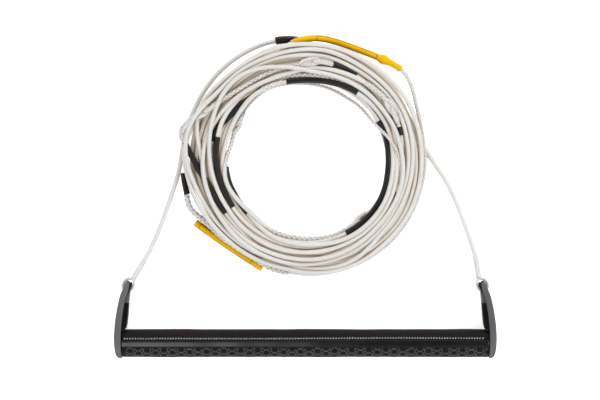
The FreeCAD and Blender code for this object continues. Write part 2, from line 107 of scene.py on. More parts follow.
# The turns that lie on top, in the order in which the line makes them. Each begins and ends hidden.
TOP_TURNS = {
    "swung_out": [
        (330, 96.0, 2.4), (290, 101.0, 2.4), (250, 108.0, 2.6), (222, 111.4, 2.8), (205, 114.0, 3.1),
        (197, 116.6, 3.6), (190, 119.4, 4.2), (185, 122.1, 4.6), (180, 124.2, 4.8), (174, 125.9, 4.9),
        (168, 126.8, 4.9), (163, 125.2, 4.8), (157, 122.1, 4.6), (150, 117.5, 4.3), (143, 113.0, 3.9),
        (135, 111.8, 3.5), (120, 112.4, 3.1), (100, 114.0, 3.0), (80, 114.6, 3.0), (70, 113.3, 3.0),
        (60, 111.6, 3.0), (50, 111.8, 3.0), (40, 112.4, 3.0), (20, 112.6, 3.0), (0, 110.7, 3.0),
        (340, 109.7, 3.0), (320, 108.4, 3.0), (315, 108.7, 3.1), (310, 110.2, 3.4), (305, 112.3, 3.6),
        (300, 114.4, 3.5), (295, 115.7, 3.3), (285, 115.4, 3.0), (275, 113.3, 2.8), (265, 111.8, 2.5),
    ],
    "slanting": [
        (250, 106.0, 2.3), (232, 101.0, 2.2), (220, 100.2, 2.3), (211, 101.1, 2.4), (205, 102.5, 2.6),
        (195, 104.5, 3.1), (190, 108.0, 3.1), (185, 112.8, 3.2), (180, 116.4, 3.3), (176, 121.5, 3.4),
        (172, 128.4, 3.5), (169, 132.0, 3.5), (165, 132.6, 3.5), (161, 129.0, 3.4), (158, 122.0, 3.3),
        (155, 116.0, 3.2), (152, 113.4, 3.1), (147, 109.0, 3.0), (142, 105.0, 3.0), (135, 100.5, 3.0),
        (125, 97.5, 3.0), (110, 97.2, 3.0), (100, 96.4, 3.1), (94, 97.2, 3.3), (90, 98.8, 3.4),
        (86, 102.0, 3.5), (82, 104.8, 3.5), (78, 104.8, 3.4), (74, 102.4, 3.2), (69, 101.2, 3.1),
        (62, 100.6, 2.8), (50, 100.0, 2.3),
    ],
    "crossing": [
        (30, 95.0, 2.2), (10, 93.5, 2.4), (0, 94.0, 2.7), (350, 95.2, 3.0), (330, 96.3, 3.0),
        (310, 96.8, 3.0), (265, 96.8, 3.0), (240, 96.8, 3.1), (225, 96.8, 3.4), (210, 96.2, 3.8),
        (195, 97.6, 4.0), (180, 99.8, 4.2), (170, 101.9, 4.4), (160, 104.5, 4.6), (150, 107.6, 4.7),
        (145, 109.2, 4.6), (140, 110.2, 4.5), (130, 110.7, 4.3), (125, 109.7, 4.2), (120, 107.1, 4.2),
        (115, 104.5, 4.2), (110, 101.4, 4.2), (105, 98.8, 4.2), (100, 96.3, 4.1), (95, 93.7, 3.9),
        (90, 92.1, 3.8), (85, 91.1, 3.6), (80, 90.6, 3.4), (70, 91.1, 3.2), (60, 92.1, 3.1),
        (50, 93.2, 3.1), (40, 93.7, 3.1), (30, 94.9, 3.1), (20, 96.6, 3.1), (10, 97.4, 3.1),
        (0, 98.6, 3.1), (350, 100.9, 3.0), (340, 102.3, 3.0), (330, 102.5, 3.0), (315, 101.6, 3.0),
        (300, 102.8, 3.0), (290, 103.8, 3.0), (270, 104.3, 3.0), (245, 103.5, 3.0), (225, 104.0, 3.0),
        (212, 104.2, 2.9), (200, 106.0, 2.6), (185, 106.0, 2.3),
    ],
    "outermost": [
        (172, 112.0, 2.2), (162, 119.0, 2.6), (153, 122.4, 3.0), (145, 120.4, 3.1), (135, 117.9, 3.1),
        (125, 117.4, 3.1), (118, 118.0, 3.1), (110, 119.0, 3.1), (95, 119.6, 3.0), (80, 119.5, 3.0),
        (70, 118.9, 3.1), (60, 118.6, 3.2), (50, 119.4, 3.3), (40, 120.2, 3.3), (30, 121.2, 3.2),
        (20, 120.8, 3.0), (0, 120.1, 3.0), (345, 120.6, 3.0), (330, 120.6, 3.0), (315, 119.5, 3.1),
        (300, 120.1, 3.2), (288, 119.8, 3.4), (278, 118.7, 3.6), (268, 116.6, 3.7), (260, 114.9, 3.8),
        (250, 115.4, 3.8), (235, 116.0, 3.8), (225, 116.8, 3.9), (215, 118.4, 3.9), (205, 120.4, 3.9),
        (195, 122.4, 3.8), (185, 124.2, 3.7), (176, 127.0, 3.4), (168, 125.0, 3.0), (160, 119.0, 2.3),
    ],
    "rising": [
        (140, 112.0, 2.0), (100, 108.0, 2.2), (60, 106.0, 2.3), (20, 106.5, 2.3), (340, 106.0, 2.4),
        (320, 106.8, 2.7), (307, 107.2, 3.0), (290, 108.0, 3.0), (270, 108.7, 3.0), (245, 108.4, 3.0),
        (215, 106.6, 3.6), (195, 107.0, 3.9), (185, 107.6, 4.0), (175, 106.6, 3.9), (165, 104.2, 3.8),
        (155, 100.6, 3.7), (145, 96.6, 3.6), (135, 94.0, 3.5), (125, 92.0, 3.5), (115, 90.6, 3.4),
        (105, 90.6, 3.2), (95, 92.4, 3.0), (85, 94.4, 3.0), (75, 96.0, 3.0), (60, 98.9, 3.0),
        (50, 100.6, 3.1), (40, 102.8, 3.2), (33, 104.4, 3.3), (27, 104.6, 3.3), (21, 102.8, 3.2),
        (14, 101.4, 2.9), (4, 99.0, 2.4),
    ],
    "middle": [
        (345, 92.0, 2.6), (335, 93.0, 3.0), (310, 93.3, 3.0), (300, 92.4, 3.0), (290, 91.6, 3.0),
        (280, 90.7, 3.0), (265, 90.3, 3.0), (240, 91.6, 3.0), (225, 91.8, 2.6), (211, 91.4, 2.7),
        (200, 91.2, 3.3), (190, 92.0, 3.8), (178, 93.4, 3.7), (168, 94.2, 3.3), (158, 94.8, 2.7),
    ],
    "upper_left": [
        (130, 92.0, 2.2), (60, 92.0, 2.0), (0, 92.0, 2.0), (300, 96.0, 2.0), (230, 99.0, 2.0),
        (190, 101.0, 2.0), (175, 100.8, 2.3), (165, 99.2, 2.2), (160, 96.6, 2.4), (150, 91.8, 2.4),
        (140, 89.4, 2.3), (130, 88.2, 2.2), (122, 88.0, 2.3), (110, 87.6, 2.9), (98, 86.8, 3.1),
        (88, 86.6, 3.1), (78, 87.6, 3.0), (68, 89.4, 2.8), (58, 91.0, 2.4),
    ],
    "right_inner": [
        (45, 86.0, 2.4), (35, 84.8, 2.6), (27, 85.2, 2.9), (17, 86.2, 3.0), (0, 86.2, 3.1),
        (350, 86.6, 3.1), (340, 88.0, 3.1), (325, 89.2, 3.3), (310, 88.6, 3.4), (298, 87.8, 3.3),
        (285, 88.0, 2.6),
    ],
    "inner": [
        (250, 86.0, 2.3), (215, 86.0, 2.4), (185, 86.0, 2.8), (165, 84.5, 3.1), (155, 84.4, 3.3),
        (145, 85.2, 3.4), (135, 86.4, 3.3), (125, 86.0, 3.2), (115, 85.0, 3.2), (107, 84.4, 3.3),
        (100, 83.2, 3.4), (90, 82.5, 3.4), (80, 83.2, 3.4), (70, 84.8, 3.4), (60, 86.4, 3.3),
        (50, 87.6, 3.2), (40, 89.0, 3.1), (30, 90.4, 3.0), (15, 91.6, 3.0), (0, 92.0, 3.0),
        (345, 92.4, 3.1), (330, 93.8, 3.1), (312, 93.8, 3.1), (300, 93.0, 3.1), (290, 91.8, 3.1),
        (280, 90.0, 3.1), (270, 89.2, 3.1), (260, 89.0, 3.1), (245, 88.6, 3.1), (235, 85.8, 3.0),
        (226, 83.2, 2.9), (218, 83.0, 2.8), (212, 83.8, 2.8), (205, 84.9, 2.8), (198, 85.6, 2.7),
        (190, 86.0, 2.6), (182, 86.0, 2.3),
    ],
    "last_loop": [
        (160, 90.0, 1.8), (100, 90.0, 1.6), (40, 90.0, 1.6), (350, 90.0, 1.8), (330, 89.0, 2.0),
        (316, 86.2, 2.4), (305, 85.6, 2.6), (297, 85.8, 2.6), (288, 86.0, 2.5), (275, 84.8, 2.5),
        (262, 84.6, 2.5), (246, 84.4, 2.8), (238, 82.8, 3.3), (230, 81.0, 3.8), (225, 80.8, 4.0),
        (218, 81.4, 4.1), (210, 83.2, 4.2), (200, 86.6, 4.2), (192, 87.8, 4.1), (186, 86.8, 3.8),
        (180, 83.6, 3.3), (174, 80.2, 2.8), (168, 78.8, 2.4), (160, 79.6, 2.1), (152, 80.6, 1.9),
        (144, 80.8, 1.7), (136, 82.2, 1.5), (128, 83.2, 1.3), (120, 84.0, 1.1), (112, 82.6, 0.8),
        (104, 80.8, 0.5), (96, 79.4, 0.3), (88, 78.2, 0.2), (72, 77.4, 0.1), (58, 76.3, 0.1),
        (50, 77.2, 0.4), (44, 78.4, 0.9), (36, 78.4, 1.8), (30, 79.4, 2.6), (24, 82.0, 3.4),
        (18, 86.5, 3.9), (12, 90.5, 4.1), (6, 94.3, 4.0), (0, 96.6, 3.6), (352, 98.2, 3.2), (340, 98.6, 2.5),
    ],
}
# Places on the top turns, by strand and by the angles between which each lies
SLEEVES = {
    "sleeve_top_outer": ("slanting", 75, 57),
    "sleeve_top_inner": ("inner", 107, 66),
    "sleeve_top_right": ("inner", 69, 50),
    "sleeve_upper_left": ("upper_left", 170, 120),
    "sleeve_left_diagonal": ("slanting", 216, 171),
    "sleeve_left_middle": ("middle", 214, 164),
    "sleeve_left_inner": ("inner", 226, 184),
    "sleeve_right_inner": ("right_inner", 30, 296),
    "sleeve_right_middle": ("rising", 21, 14),
}
BRAIDS = {
    "braid_upper_left": ("upper_left", 120, 66),
    "braid_top_inner": ("inner", 122, 107),
    "braid_last_loop": ("last_loop", 299, 246),
    "braid_left": ("slanting", 171, 148),
    "braid_middle_left": ("slanting", 148, 94),
    "braid_right": ("rising", 52, 37),
}
THIN_BRAIDS = {"inner_left": ("last_loop", 186, 158), "inner_end": ("last_loop", 143, 344)}
JOINTS = {
    "joint_left": ("slanting", 172, 162),
    "joint_left_inside": ("slanting", 158, 148),
    "joint_top": ("slanting", 95, 75),
    "joint_right": ("rising", 37, 21),
    "joint_inner_left": ("last_loop", 158, 143),
    "joint_lower_right": ("last_loop", 318, 299),
}
SLEEVE_R = 3.0
BRAID_R = 2.75
THIN_BRAID_R = 1.9
CORE_R = 1.9
THIN_CORE_R = 1.1
JOINT_R = 4.0
LABEL_R = 3.4

LOWER_LABEL_ROUTE = [(-114.4, 100.4, 3.8), (-80.5, 75.9, 3.6), (-44.2, 53.4, 3.8)]
LOWER_BRAID_ROUTE = [
    (-126.0, 143.0, 6.0), (-124.6, 135.0, 7.2), (-123.2, 127.5, 8.2), (-121.8, 119.8, 8.4),
    (-118.0, 112.9, 8.6), (-111.4, 107.2, 9.0), (-104.2, 101.9, 9.4), (-97.1, 95.4, 9.4),
    (-89.8, 88.5, 9.4), (-81.8, 82.1, 9.2), (-72.7, 75.9, 9.0), (-63.5, 70.4, 9.0),
    (-54.5, 65.3, 8.6), (-46.4, 59.4, 7.8), (-39.0, 54.4, 7.0), (-30.0, 50.8, 6.6), (-18.0, 48.4, 6.6),
]
OUTER_SLEEVE_ROUTE = [(-126.8, 152.0, 6.5), (-126.2, 146.0, 6.5), (-124.6, 138.0, 6.8), (-122.8, 130.0, 7.4)]

# The counted-on angles between which a braid covers the lead
LEAD_BRAID_SPAN = (44.0, -78.0)

# Degrees between the places at which neighbouring turns are compared
STEP = 5
BINS = 360 // STEP
# Height of one level of the pile, and how far a turn may sink below its level
LEVEL_RISE = 4.15
SAG = 3.0
# How turns settle: rounds, height above their level at the start, least distance that a push is
# worked out with, how hard neighbours push, how firmly a turn keeps its place, how fast it sinks
SETTLE_ROUNDS = 320
START_LIFT = 0.5
CLOSEST = 0.3
PUSH = 0.28
HOLD = 0.06
SINK = 0.06


def falling(table, before=None):
    """Rows with their angles counted on downwards instead of starting again at 360."""
    rows = []
    last = before
    for angle, radius, level in table:
        while last is not None and angle >= last:
            angle -= 360
        last = angle
        rows.append((angle, radius, level))
    return rows


def coil_rows():
    """Every row of the wound line, and between which angles each top strand lies."""
    rows = falling(FIRST_TURN)
    rng = np.random.default_rng(7)
    bed_angle, bed_inner, bed_outer = zip(*BED_EDGES)
    for start, end, turns, level in BED_LAYERS:
        first = rows[-1][0]
        phase = rng.uniform(0, TAU, 3)
        for part in range(1, turns * BED_ROWS + 1):
            angle = first - part * (360 // BED_ROWS)
            along = part / (turns * BED_ROWS)
            way = math.radians(angle)
            swing = BED_SWINGS[0] * math.sin(2 * way + phase[0])
            swing += BED_SWINGS[1] * math.sin(3 * way + phase[1])
            inner = np.interp(angle % 360, bed_angle, bed_inner)
            outer = np.interp(angle % 360, bed_angle, bed_outer)
            share = start + (end - start) * along
            rows.append((angle, inner + (outer - inner) * share + swing + rng.normal(0, BED_WANDER), level))
    spans = {}
    for name, table in TOP_TURNS.items():
        made = falling(table, rows[-1][0])
        spans[name] = (made[0][0], made[-1][0])
        rows += made
    return rows, spans


COIL_ROWS, COIL_SPANS = coil_rows()


def wound_angle(strand, angle):
    """The counted-on angle of the last place where a top strand passes an angle."""
    low = COIL_SPANS[strand][1]
    return low + (angle - low) % 360


def wound_span(strand, start, end, spare=0.0):
    """The counted-on angles between which a piece lies on a top strand, the higher one first."""
    first = wound_angle(strand, start)
    return first + spare, first - (start - end) % 360 - spare


def between(angles, span):
    return (angles <= span[0]) & (angles >= span[1])


def soften(values, rounds, share):
    """Evens a run of numbers out along the line and keeps its ends."""
    values = values.copy()
    for _ in range(rounds):
        middle = (values[:-2] + values[2:]) / 2
        values[1:-1] += share * (middle - values[1:-1])
    return values


def fixed_lane(route, radius):
    """Where a rope that stays put passes each bin of angles: distance, height and thickness."""
    points = resample(route, 2.0)
    away = points[:, :2] - (COIL_X, COIL_Y)
    angle = np.degrees(np.arctan2(away[:, 1], away[:, 0])) % 360
    lane = np.full((BINS, 3), np.nan)
    for bin_index in range(BINS):
        gap = np.abs((angle + bin_index * STEP + 180) % 360 - 180)
        nearest = int(np.argmin(gap))
        if gap[nearest] < STEP / 2:
            lane[bin_index] = (np.hypot(*away[nearest]), points[nearest, 2], radius)
    return lane


def settle_coil():
    """The wound line after its turns have pushed one another aside and sunk together."""
    ways = np.array([row[0] for row in COIL_ROWS], float)
    steps = int(-ways[-1] // STEP)
    way = -STEP * np.arange(steps + 1)
    aim = soften(np.interp(-way, -ways, [row[1] for row in COIL_ROWS]), 1, 0.4)
    level = soften(np.interp(-way, -ways, [row[2] for row in COIL_ROWS]), 3, 0.5)
    thick = np.full(len(way), ROPE_R)
    tables = ((SLEEVES, SLEEVE_R), (BRAIDS, BRAID_R), (THIN_BRAIDS, THIN_BRAID_R), (JOINTS, JOINT_R))
    for table, size in tables:
        for place in table.values():
            thick[between(way, wound_span(*place))] = size
    lanes = [
        fixed_lane(BRIDLE_ROUTE, ROPE_R),
        fixed_lane(LEAD_ROUTE[:10], LABEL_R), fixed_lane(LEAD_ROUTE[9:], BRAID_R),
        fixed_lane(LOWER_LABEL_ROUTE, LABEL_R), fixed_lane(LOWER_BRAID_ROUTE, BRAID_R),
        fixed_lane(OUTER_SLEEVE_ROUTE, SLEEVE_R),
    ]
    count = len(way)
    turns = count // BINS + 1
    rows = turns + len(lanes)
    grid = np.full((3, rows * BINS), np.nan)
    grid[2, :count] = thick
    for index, lane in enumerate(lanes):
        first = (turns + index) * BINS
        grid[:, first:first + BINS] = lane.T
    grid[:, count:turns * BINS] = np.nan
    aim_z = ROPE_R + level * LEVEL_RISE
    radius = aim.copy()
    height = aim_z + START_LIFT
    lowest = np.maximum(thick, aim_z - SAG)
    for _ in range(SETTLE_ROUNDS):
        grid[0, :count] = radius
        grid[1, :count] = height
        r_rows, z_rows, size = grid.reshape(3, rows, BINS)
        gap_r = r_rows[:turns, None, :] - r_rows[None, :, :]
        gap_z = z_rows[:turns, None, :] - z_rows[None, :, :]
        need = size[:turns, None, :] + size[None, :, :]
        far = np.sqrt(gap_r ** 2 + gap_z ** 2)
        with np.errstate(invalid="ignore"):
            press = np.where((far < need) & (far > 1e-6), (need - far) / np.maximum(far, CLOSEST), 0.0)
        push_r = np.nansum(press * gap_r, axis=1).reshape(-1)[:count]
        push_z = np.nansum(press * gap_z, axis=1).reshape(-1)[:count]
        radius += PUSH * push_r + HOLD * (aim - radius)
        height += PUSH * push_z - SINK
        height = np.maximum(height, lowest)
        radius = aim + soften(radius - aim, 1, 0.5)
        height = soften(height, 1, 0.6)
        height[0] = aim_z[0]
        radius[0] = aim[0]
    return way, radius, height


def coil_points():
    """Centre points of the wound line in mm."""
    way, radius, height = settle_coil()
    turn = np.radians(way)
    return np.column_stack([COIL_X + radius * np.cos(turn), COIL_Y + radius * np.sin(turn), height])


# ---------------------------------------------------------------- curves, tubes and braids


def nurbs(name, points):
    """A cord's spline through given points in mm, as a curve object without thickness."""
    curve = bpy.data.curves.new(name + "_line", "CURVE")
    curve.dimensions = "3D"
    curve.resolution_u = 4
    spline = curve.splines.new("NURBS")
    spline.points.add(len(points) - 1)
    for place, point in zip(spline.points, points):
        place.co = (point[0] * MM, point[1] * MM, point[2] * MM, 1.0)
    spline.order_u = 3
    spline.use_endpoint_u = True
    line = bpy.data.objects.new(name + "_line", curve)
    bpy.context.scene.collection.objects.link(line)
    return line


def read_back(line):
    """Points of a curve object in mm, as the spline really runs."""
    bpy.context.view_layer.update()
    mesh = bpy.data.meshes.new_from_object(line)
    points = np.array([vertex.co[:] for vertex in mesh.vertices]) / MM
    bpy.data.meshes.remove(mesh)
    return points


def run_of(points):
    """The distance along a line at each of its points."""
    return np.concatenate([[0.0], np.cumsum(np.linalg.norm(np.diff(points, axis=0), axis=1))])


def read_at(at, run, rows):
    """Rows of three values read at any places of a run."""
    return np.column_stack([np.interp(at, run, rows[:, axis]) for axis in range(3)])


def resample(points, spacing):
    """The same run with evenly spaced points."""
    points = np.asarray(points, float)
    run = run_of(points)
    count = max(2, int(round(run[-1] / spacing)) + 1)
    return read_at(np.linspace(0.0, run[-1], count), run, points)


def line_along(name, route, spacing):
    """Evenly spaced points of a rope's spline through a route."""
    return resample(read_back(nurbs(name, route)), spacing)


def frames_along(points):
    """Directions along, sideways and up at every point, turning as little as possible."""
    along = np.gradient(points, axis=0)
    along /= np.linalg.norm(along, axis=1)[:, None]
    side = np.zeros_like(points)
    first = np.cross(along[0], (0.0, 0.0, 1.0))
    if np.linalg.norm(first) < 0.1:
        first = np.cross(along[0], (0.0, 1.0, 0.0))
    side[0] = first / np.linalg.norm(first)
    for index in range(1, len(points)):
        turned = side[index - 1] - along[index] * np.dot(side[index - 1], along[index])
        side[index] = turned / np.linalg.norm(turned)
    up = np.cross(side, along)
    return along, side, up


def shown(name, mesh, material):
    """A smooth object of one material over a mesh."""
    mesh.polygons.foreach_set("use_smooth", [True] * len(mesh.polygons))
    mesh.materials.append(material)
    obj = bpy.data.objects.new(name, mesh)
    bpy.context.scene.collection.objects.link(obj)
    return obj


def ring_mesh(name, rings, material, run=None):
    """A closed skin over rings of points in mm, one ring after another, with its length in its UVs."""
    count, around, _ = rings.shape
    verts = rings.reshape(-1, 3) * MM
    index = np.arange(count * around).reshape(count, around)
    turned = np.roll(index, -1, axis=1)
    quads = np.stack([index[:-1], turned[:-1], turned[1:], index[1:]], axis=-1).reshape(-1, 4)
    faces = quads.tolist()
    faces.append(index[0, ::-1].tolist())
    faces.append(index[-1].tolist())
    mesh = bpy.data.meshes.new(name)
    mesh.from_pydata(verts.tolist(), [], faces)
    if run is None:
        run = run_of(rings.mean(axis=1))
    layer = mesh.uv_layers.new(name="UVMap")
    uv = np.zeros((len(mesh.loops), 2))
    low = np.repeat(run[:-1], around)
    high = np.repeat(run[1:], around)
    part = np.tile(np.arange(around) / around, count - 1)
    quad_uv = np.stack([
        np.column_stack([low, part]), np.column_stack([low, part + 1 / around]),
        np.column_stack([high, part + 1 / around]), np.column_stack([high, part]),
    ], axis=1).reshape(-1, 2)
    uv[:len(quad_uv)] = quad_uv * (0.1, 1.0)
    layer.data.foreach_set("uv", uv.reshape(-1))
    return shown(name, mesh, material)


def swept(centre, side, up, wide, tall, around):
    """Rings of points round the places of a line, wide along side and tall along up."""
    wide = np.broadcast_to(wide, len(centre))[:, None, None]
    tall = np.broadcast_to(tall, len(centre))[:, None, None]
    turn = (np.arange(around) * TAU / around)[None, :, None]
    return centre[:, None, :] + wide * np.cos(turn) * side[:, None, :] + tall * np.sin(turn) * up[:, None, :]


def tube_rings(points, wide, tall=None, around=12):
    """Rings round a line, wide sideways and tall upwards."""
    _, side, up = frames_along(points)
    return swept(points, side, up, wide, wide if tall is None else tall, around)


def braid_rings(points, radius, pitch, strands, thread):
    """Interlaced strands round a line: half of them wind each way, over and under in turn."""
    _, side, up = frames_along(points)
    run = run_of(points)
    radius = np.broadcast_to(radius, len(points))
    half = strands // 2
    made = []
    for strand in range(strands):
        hand = 1 if strand < half else -1
        angle = hand * TAU * run / pitch + TAU * (strand % half) / half
        lift = 0.42 * thread * hand * np.cos(TAU * half * run / pitch)
        out = np.cos(angle)[:, None] * side + np.sin(angle)[:, None] * up
        centre = points + (radius + lift)[:, None] * out
        along = np.gradient(centre, axis=0)
        along /= np.linalg.norm(along, axis=1)[:, None]
        made.append(swept(centre, np.cross(out, along), out, thread * 1.15, 0.55 * thread, 6))
    return made


def joined(name, parts, material):
    """One object from several sets of rings."""
    pieces = [ring_mesh(f"{name}_{index}", rings, material) for index, rings in enumerate(parts)]
    whole = bmesh.new()
    for piece in pieces:
        whole.from_mesh(piece.data)
        bpy.data.objects.remove(piece)
    mesh = bpy.data.meshes.new(name)
    whole.to_mesh(mesh)
    whole.free()
    return shown(name, mesh, material)


def braid(name, points, radius, material, pitch=16.0, strands=6, thread=1.35):
    """A braid along points, a little uneven in thickness."""
    points = resample(points, 0.9)
    uneven = soften(np.random.default_rng(5).normal(0, 0.6, len(points)), 3, 0.6)
    return joined(name, braid_rings(points, radius * (1.0 + 0.15 * uneven), pitch, strands, thread), material)


def sleeve(name, points, wide, material, tall=None, wall=0.5, wobble=0.08, seed=1):
    """A shrunk tube over a rope, with rounded open ends and the slight unevenness of shrinking."""
    points = points if np.ndim(wide) else resample(points, 1.6)
    rng = np.random.default_rng(seed)
    count = len(points)
    uneven = soften(rng.normal(0, 1, count), 4, 0.6) * wobble
    wide = np.broadcast_to(wide, count) + uneven
    tall = wide if tall is None else np.broadcast_to(tall, count) + uneven
    ends = [(wall + 0.4, 3.0), (wall, 0.0), (0.12, 0.0), (0.0, 0.35)]
    along, side, up = frames_along(points)
    rows = [(points[0] + along[0] * inward, wide[0] - less, tall[0] - less) for less, inward in ends]
    rows += [(points[k], wide[k], tall[k]) for k in range(1, count - 1)]
    rows += [
        (points[-1] - along[-1] * inward, wide[-1] - less, tall[-1] - less) for less, inward in ends[::-1]
    ]
    centre, wide, tall = (np.array(column) for column in zip(*rows))
    spread = [0] * len(ends) + list(range(1, count - 1)) + [count - 1] * len(ends)
    return ring_mesh(name, swept(centre, side[spread], up[spread], wide, tall, 16), material)


# ---------------------------------------------------------------- materials


class Shader:
    """A material under construction: its nodes, joined up by short calls."""

    def __init__(self, name, roughness=0.5, metallic=0.0, specular=0.5, sheen=0.0):
        self.material = bpy.data.materials.new(name)
        self.material.use_nodes = True
        self.nodes = self.material.node_tree.nodes
        self.links = self.material.node_tree.links
        self.skin = self.nodes["Principled BSDF"]
        values = {
            "Roughness": roughness, "Metallic": metallic,
            "Specular IOR Level": specular, "Sheen Weight": sheen,
        }
        for socket, value in values.items():
            self.skin.inputs[socket].default_value = value
        coords = self.nodes.new("ShaderNodeTexCoord")
        self.place = coords.outputs["Object"]
        self.uv = coords.outputs["UV"]
        self.facing = coords.outputs["Normal"]

    def put(self, source, target):
        if isinstance(source, (int, float)):
            target.default_value = source
        elif isinstance(source, tuple):
            target.default_value = source if len(source) == 4 or target.type != "RGBA" else (*source, 1.0)
        else:
            self.links.new(source, target)

    def noise(self, scale, detail=3.0, rough=0.55, place=None):
        node = self.nodes.new("ShaderNodeTexNoise")
        self.put(place or self.place, node.inputs["Vector"])
        node.inputs["Scale"].default_value = scale
        node.inputs["Detail"].default_value = detail
        node.inputs["Roughness"].default_value = rough
        return node.outputs["Fac"]

    def stretched(self, x, y, z, place=None):
        node = self.nodes.new("ShaderNodeMapping")
        self.put(place or self.place, node.inputs["Vector"])
        node.inputs["Scale"].default_value = (x, y, z)
        return node.outputs["Vector"]

    def math(self, kind, first, second=0.0):
        node = self.nodes.new("ShaderNodeMath")
        node.operation = kind
        self.put(first, node.inputs[0])
        self.put(second, node.inputs[1])
        return node.outputs["Value"]

    def ramp(self, source, *stops):
        node = self.nodes.new("ShaderNodeValToRGB")
        self.put(source, node.inputs["Fac"])
        marks = node.color_ramp.elements
        while len(marks) < len(stops):
            marks.new(0.5)
        for mark, (place, colour) in zip(marks, stops):
            mark.position = place
            mark.color = (*colour, 1.0) if isinstance(colour, tuple) else (colour, colour, colour, 1.0)
        return node.outputs["Color"]

    def mix(self, share, first, second, kind="MIX"):
        node = self.nodes.new("ShaderNodeMix")
        node.data_type = "RGBA"
        node.blend_type = kind
        self.put(share, node.inputs["Factor"])
        self.put(first, node.inputs["A"])
        self.put(second, node.inputs["B"])
        return node.outputs["Result"]

    def split(self, vector):
        node = self.nodes.new("ShaderNodeSeparateXYZ")
        self.links.new(vector, node.inputs[0])
        return node.outputs

    def painted_side_shade(self, darkest, level=0.85):
        """Painted shade: a colour that is darker on the sides of a piece than on its top and underside."""
        return self.ramp(self.math("ABSOLUTE", self.split(self.facing)[2]), (0.0, darkest), (level, 1.0))

    # Ambient occlusion: how closed in a point is. The materials turn it into painted shade and painted light
    # in gaps and creases.
    def crevice(self, distance, samples=8):
        node = self.nodes.new("ShaderNodeAmbientOcclusion")
        node.samples = samples
        node.inputs["Distance"].default_value = distance
        return node.outputs["AO"]

    def bump(self, height, strength, distance, onto=None):
        node = self.nodes.new("ShaderNodeBump")
        self.put(height, node.inputs["Height"])
        node.inputs["Strength"].default_value = strength
        node.inputs["Distance"].default_value = distance
        if onto is not None:
            self.links.new(onto, node.inputs["Normal"])
        return node.outputs["Normal"]

    def finish(self, colour, normal=None, roughness=None):
        self.put(colour, self.skin.inputs["Base Color"])
        if normal is not None:
            self.links.new(normal, self.skin.inputs["Normal"])
        if roughness is not None:
            self.links.new(roughness, self.skin.inputs["Roughness"])
        return self.material


def plait_height(made, per_length, per_turn):
    """Height of a fine plait from a tube's UVs: threads wind both ways at once."""
    long_way, round_way, _ = made.split(made.uv)
    along = made.math("MULTIPLY", long_way, TAU * per_length)
    about = made.math("MULTIPLY", round_way, TAU * per_turn)
    one = made.math("SINE", made.math("ADD", along, about))
    two = made.math("SINE", made.math("SUBTRACT", along, about))
    return made.math("MULTIPLY", one, two)


def rope_material():
    made = Shader("rope_coated", roughness=0.50, specular=0.22)
    # Painted light and shade: occlusion gives the gaps between strands a warm tan that is lighter than the
    # tops, and the sides get painted side shade.
    painted_crevice_shading = made.ramp(made.crevice(0.009), (0.0, (0.56, 0.43, 0.31)), (0.30, (0.70, 0.60, 0.49)),
                     (0.55, (0.62, 0.58, 0.52)), (0.75, (0.535, 0.52, 0.495)), (0.92, (0.500, 0.500, 0.495)))
    stain = made.ramp(made.noise(26.0), (0.40, (1.0, 1.0, 1.0)), (0.72, (0.96, 0.935, 0.90)))
    colour = made.mix(1.0, made.mix(1.0, painted_crevice_shading, stain, "MULTIPLY"), made.painted_side_shade(0.76), "MULTIPLY")
    weave = made.bump(plait_height(made, 3.0, 6.0), 0.25, 0.0003)
    rough = made.ramp(made.noise(160.0), (0.3, 0.36), (0.8, 0.52))
    return made.finish(colour, made.bump(made.noise(220.0), 0.12, 0.0004, weave), rough)


def braid_material():
    made = Shader("rope_braid", roughness=0.75, specular=0.12)
    # Painted shade: occlusion darkens the gaps between the strands, and the sides get painted side shade.
    painted_crevice_shading = made.ramp(made.crevice(0.006), (0.0, (0.42, 0.34, 0.28)),
                     (0.35, (0.57, 0.51, 0.46)), (0.60, (0.56, 0.535, 0.51)), (0.90, (0.540, 0.534, 0.530)))
    fuzz = made.noise(900.0, 4.0)
    soft = made.ramp(fuzz, (0.35, (0.93, 0.91, 0.90)), (0.7, (1.0, 1.0, 1.0)))
    colour = made.mix(1.0, painted_crevice_shading, soft, "MULTIPLY")
    colour = made.mix(1.0, colour, made.painted_side_shade(0.80), "MULTIPLY")
    return made.finish(colour, made.bump(fuzz, 0.35, 0.0005))


def shrink_material():
    made = Shader("shrink_black", roughness=0.36, specular=0.20)
    wear = made.noise(60.0, 5.0)
    colour = made.ramp(wear, (0.3, (0.006, 0.0052, 0.005)), (0.75, (0.012, 0.0106, 0.010)))
    rough = made.ramp(made.noise(240.0), (0.3, 0.28), (0.8, 0.50))
    ridges = made.bump(made.noise(1.0, place=made.stretched(5.0, 5.0, 1.0, made.uv)), 0.30, 0.0006)
    return made.finish(colour, made.bump(made.noise(420.0), 0.12, 0.0003, ridges), rough)


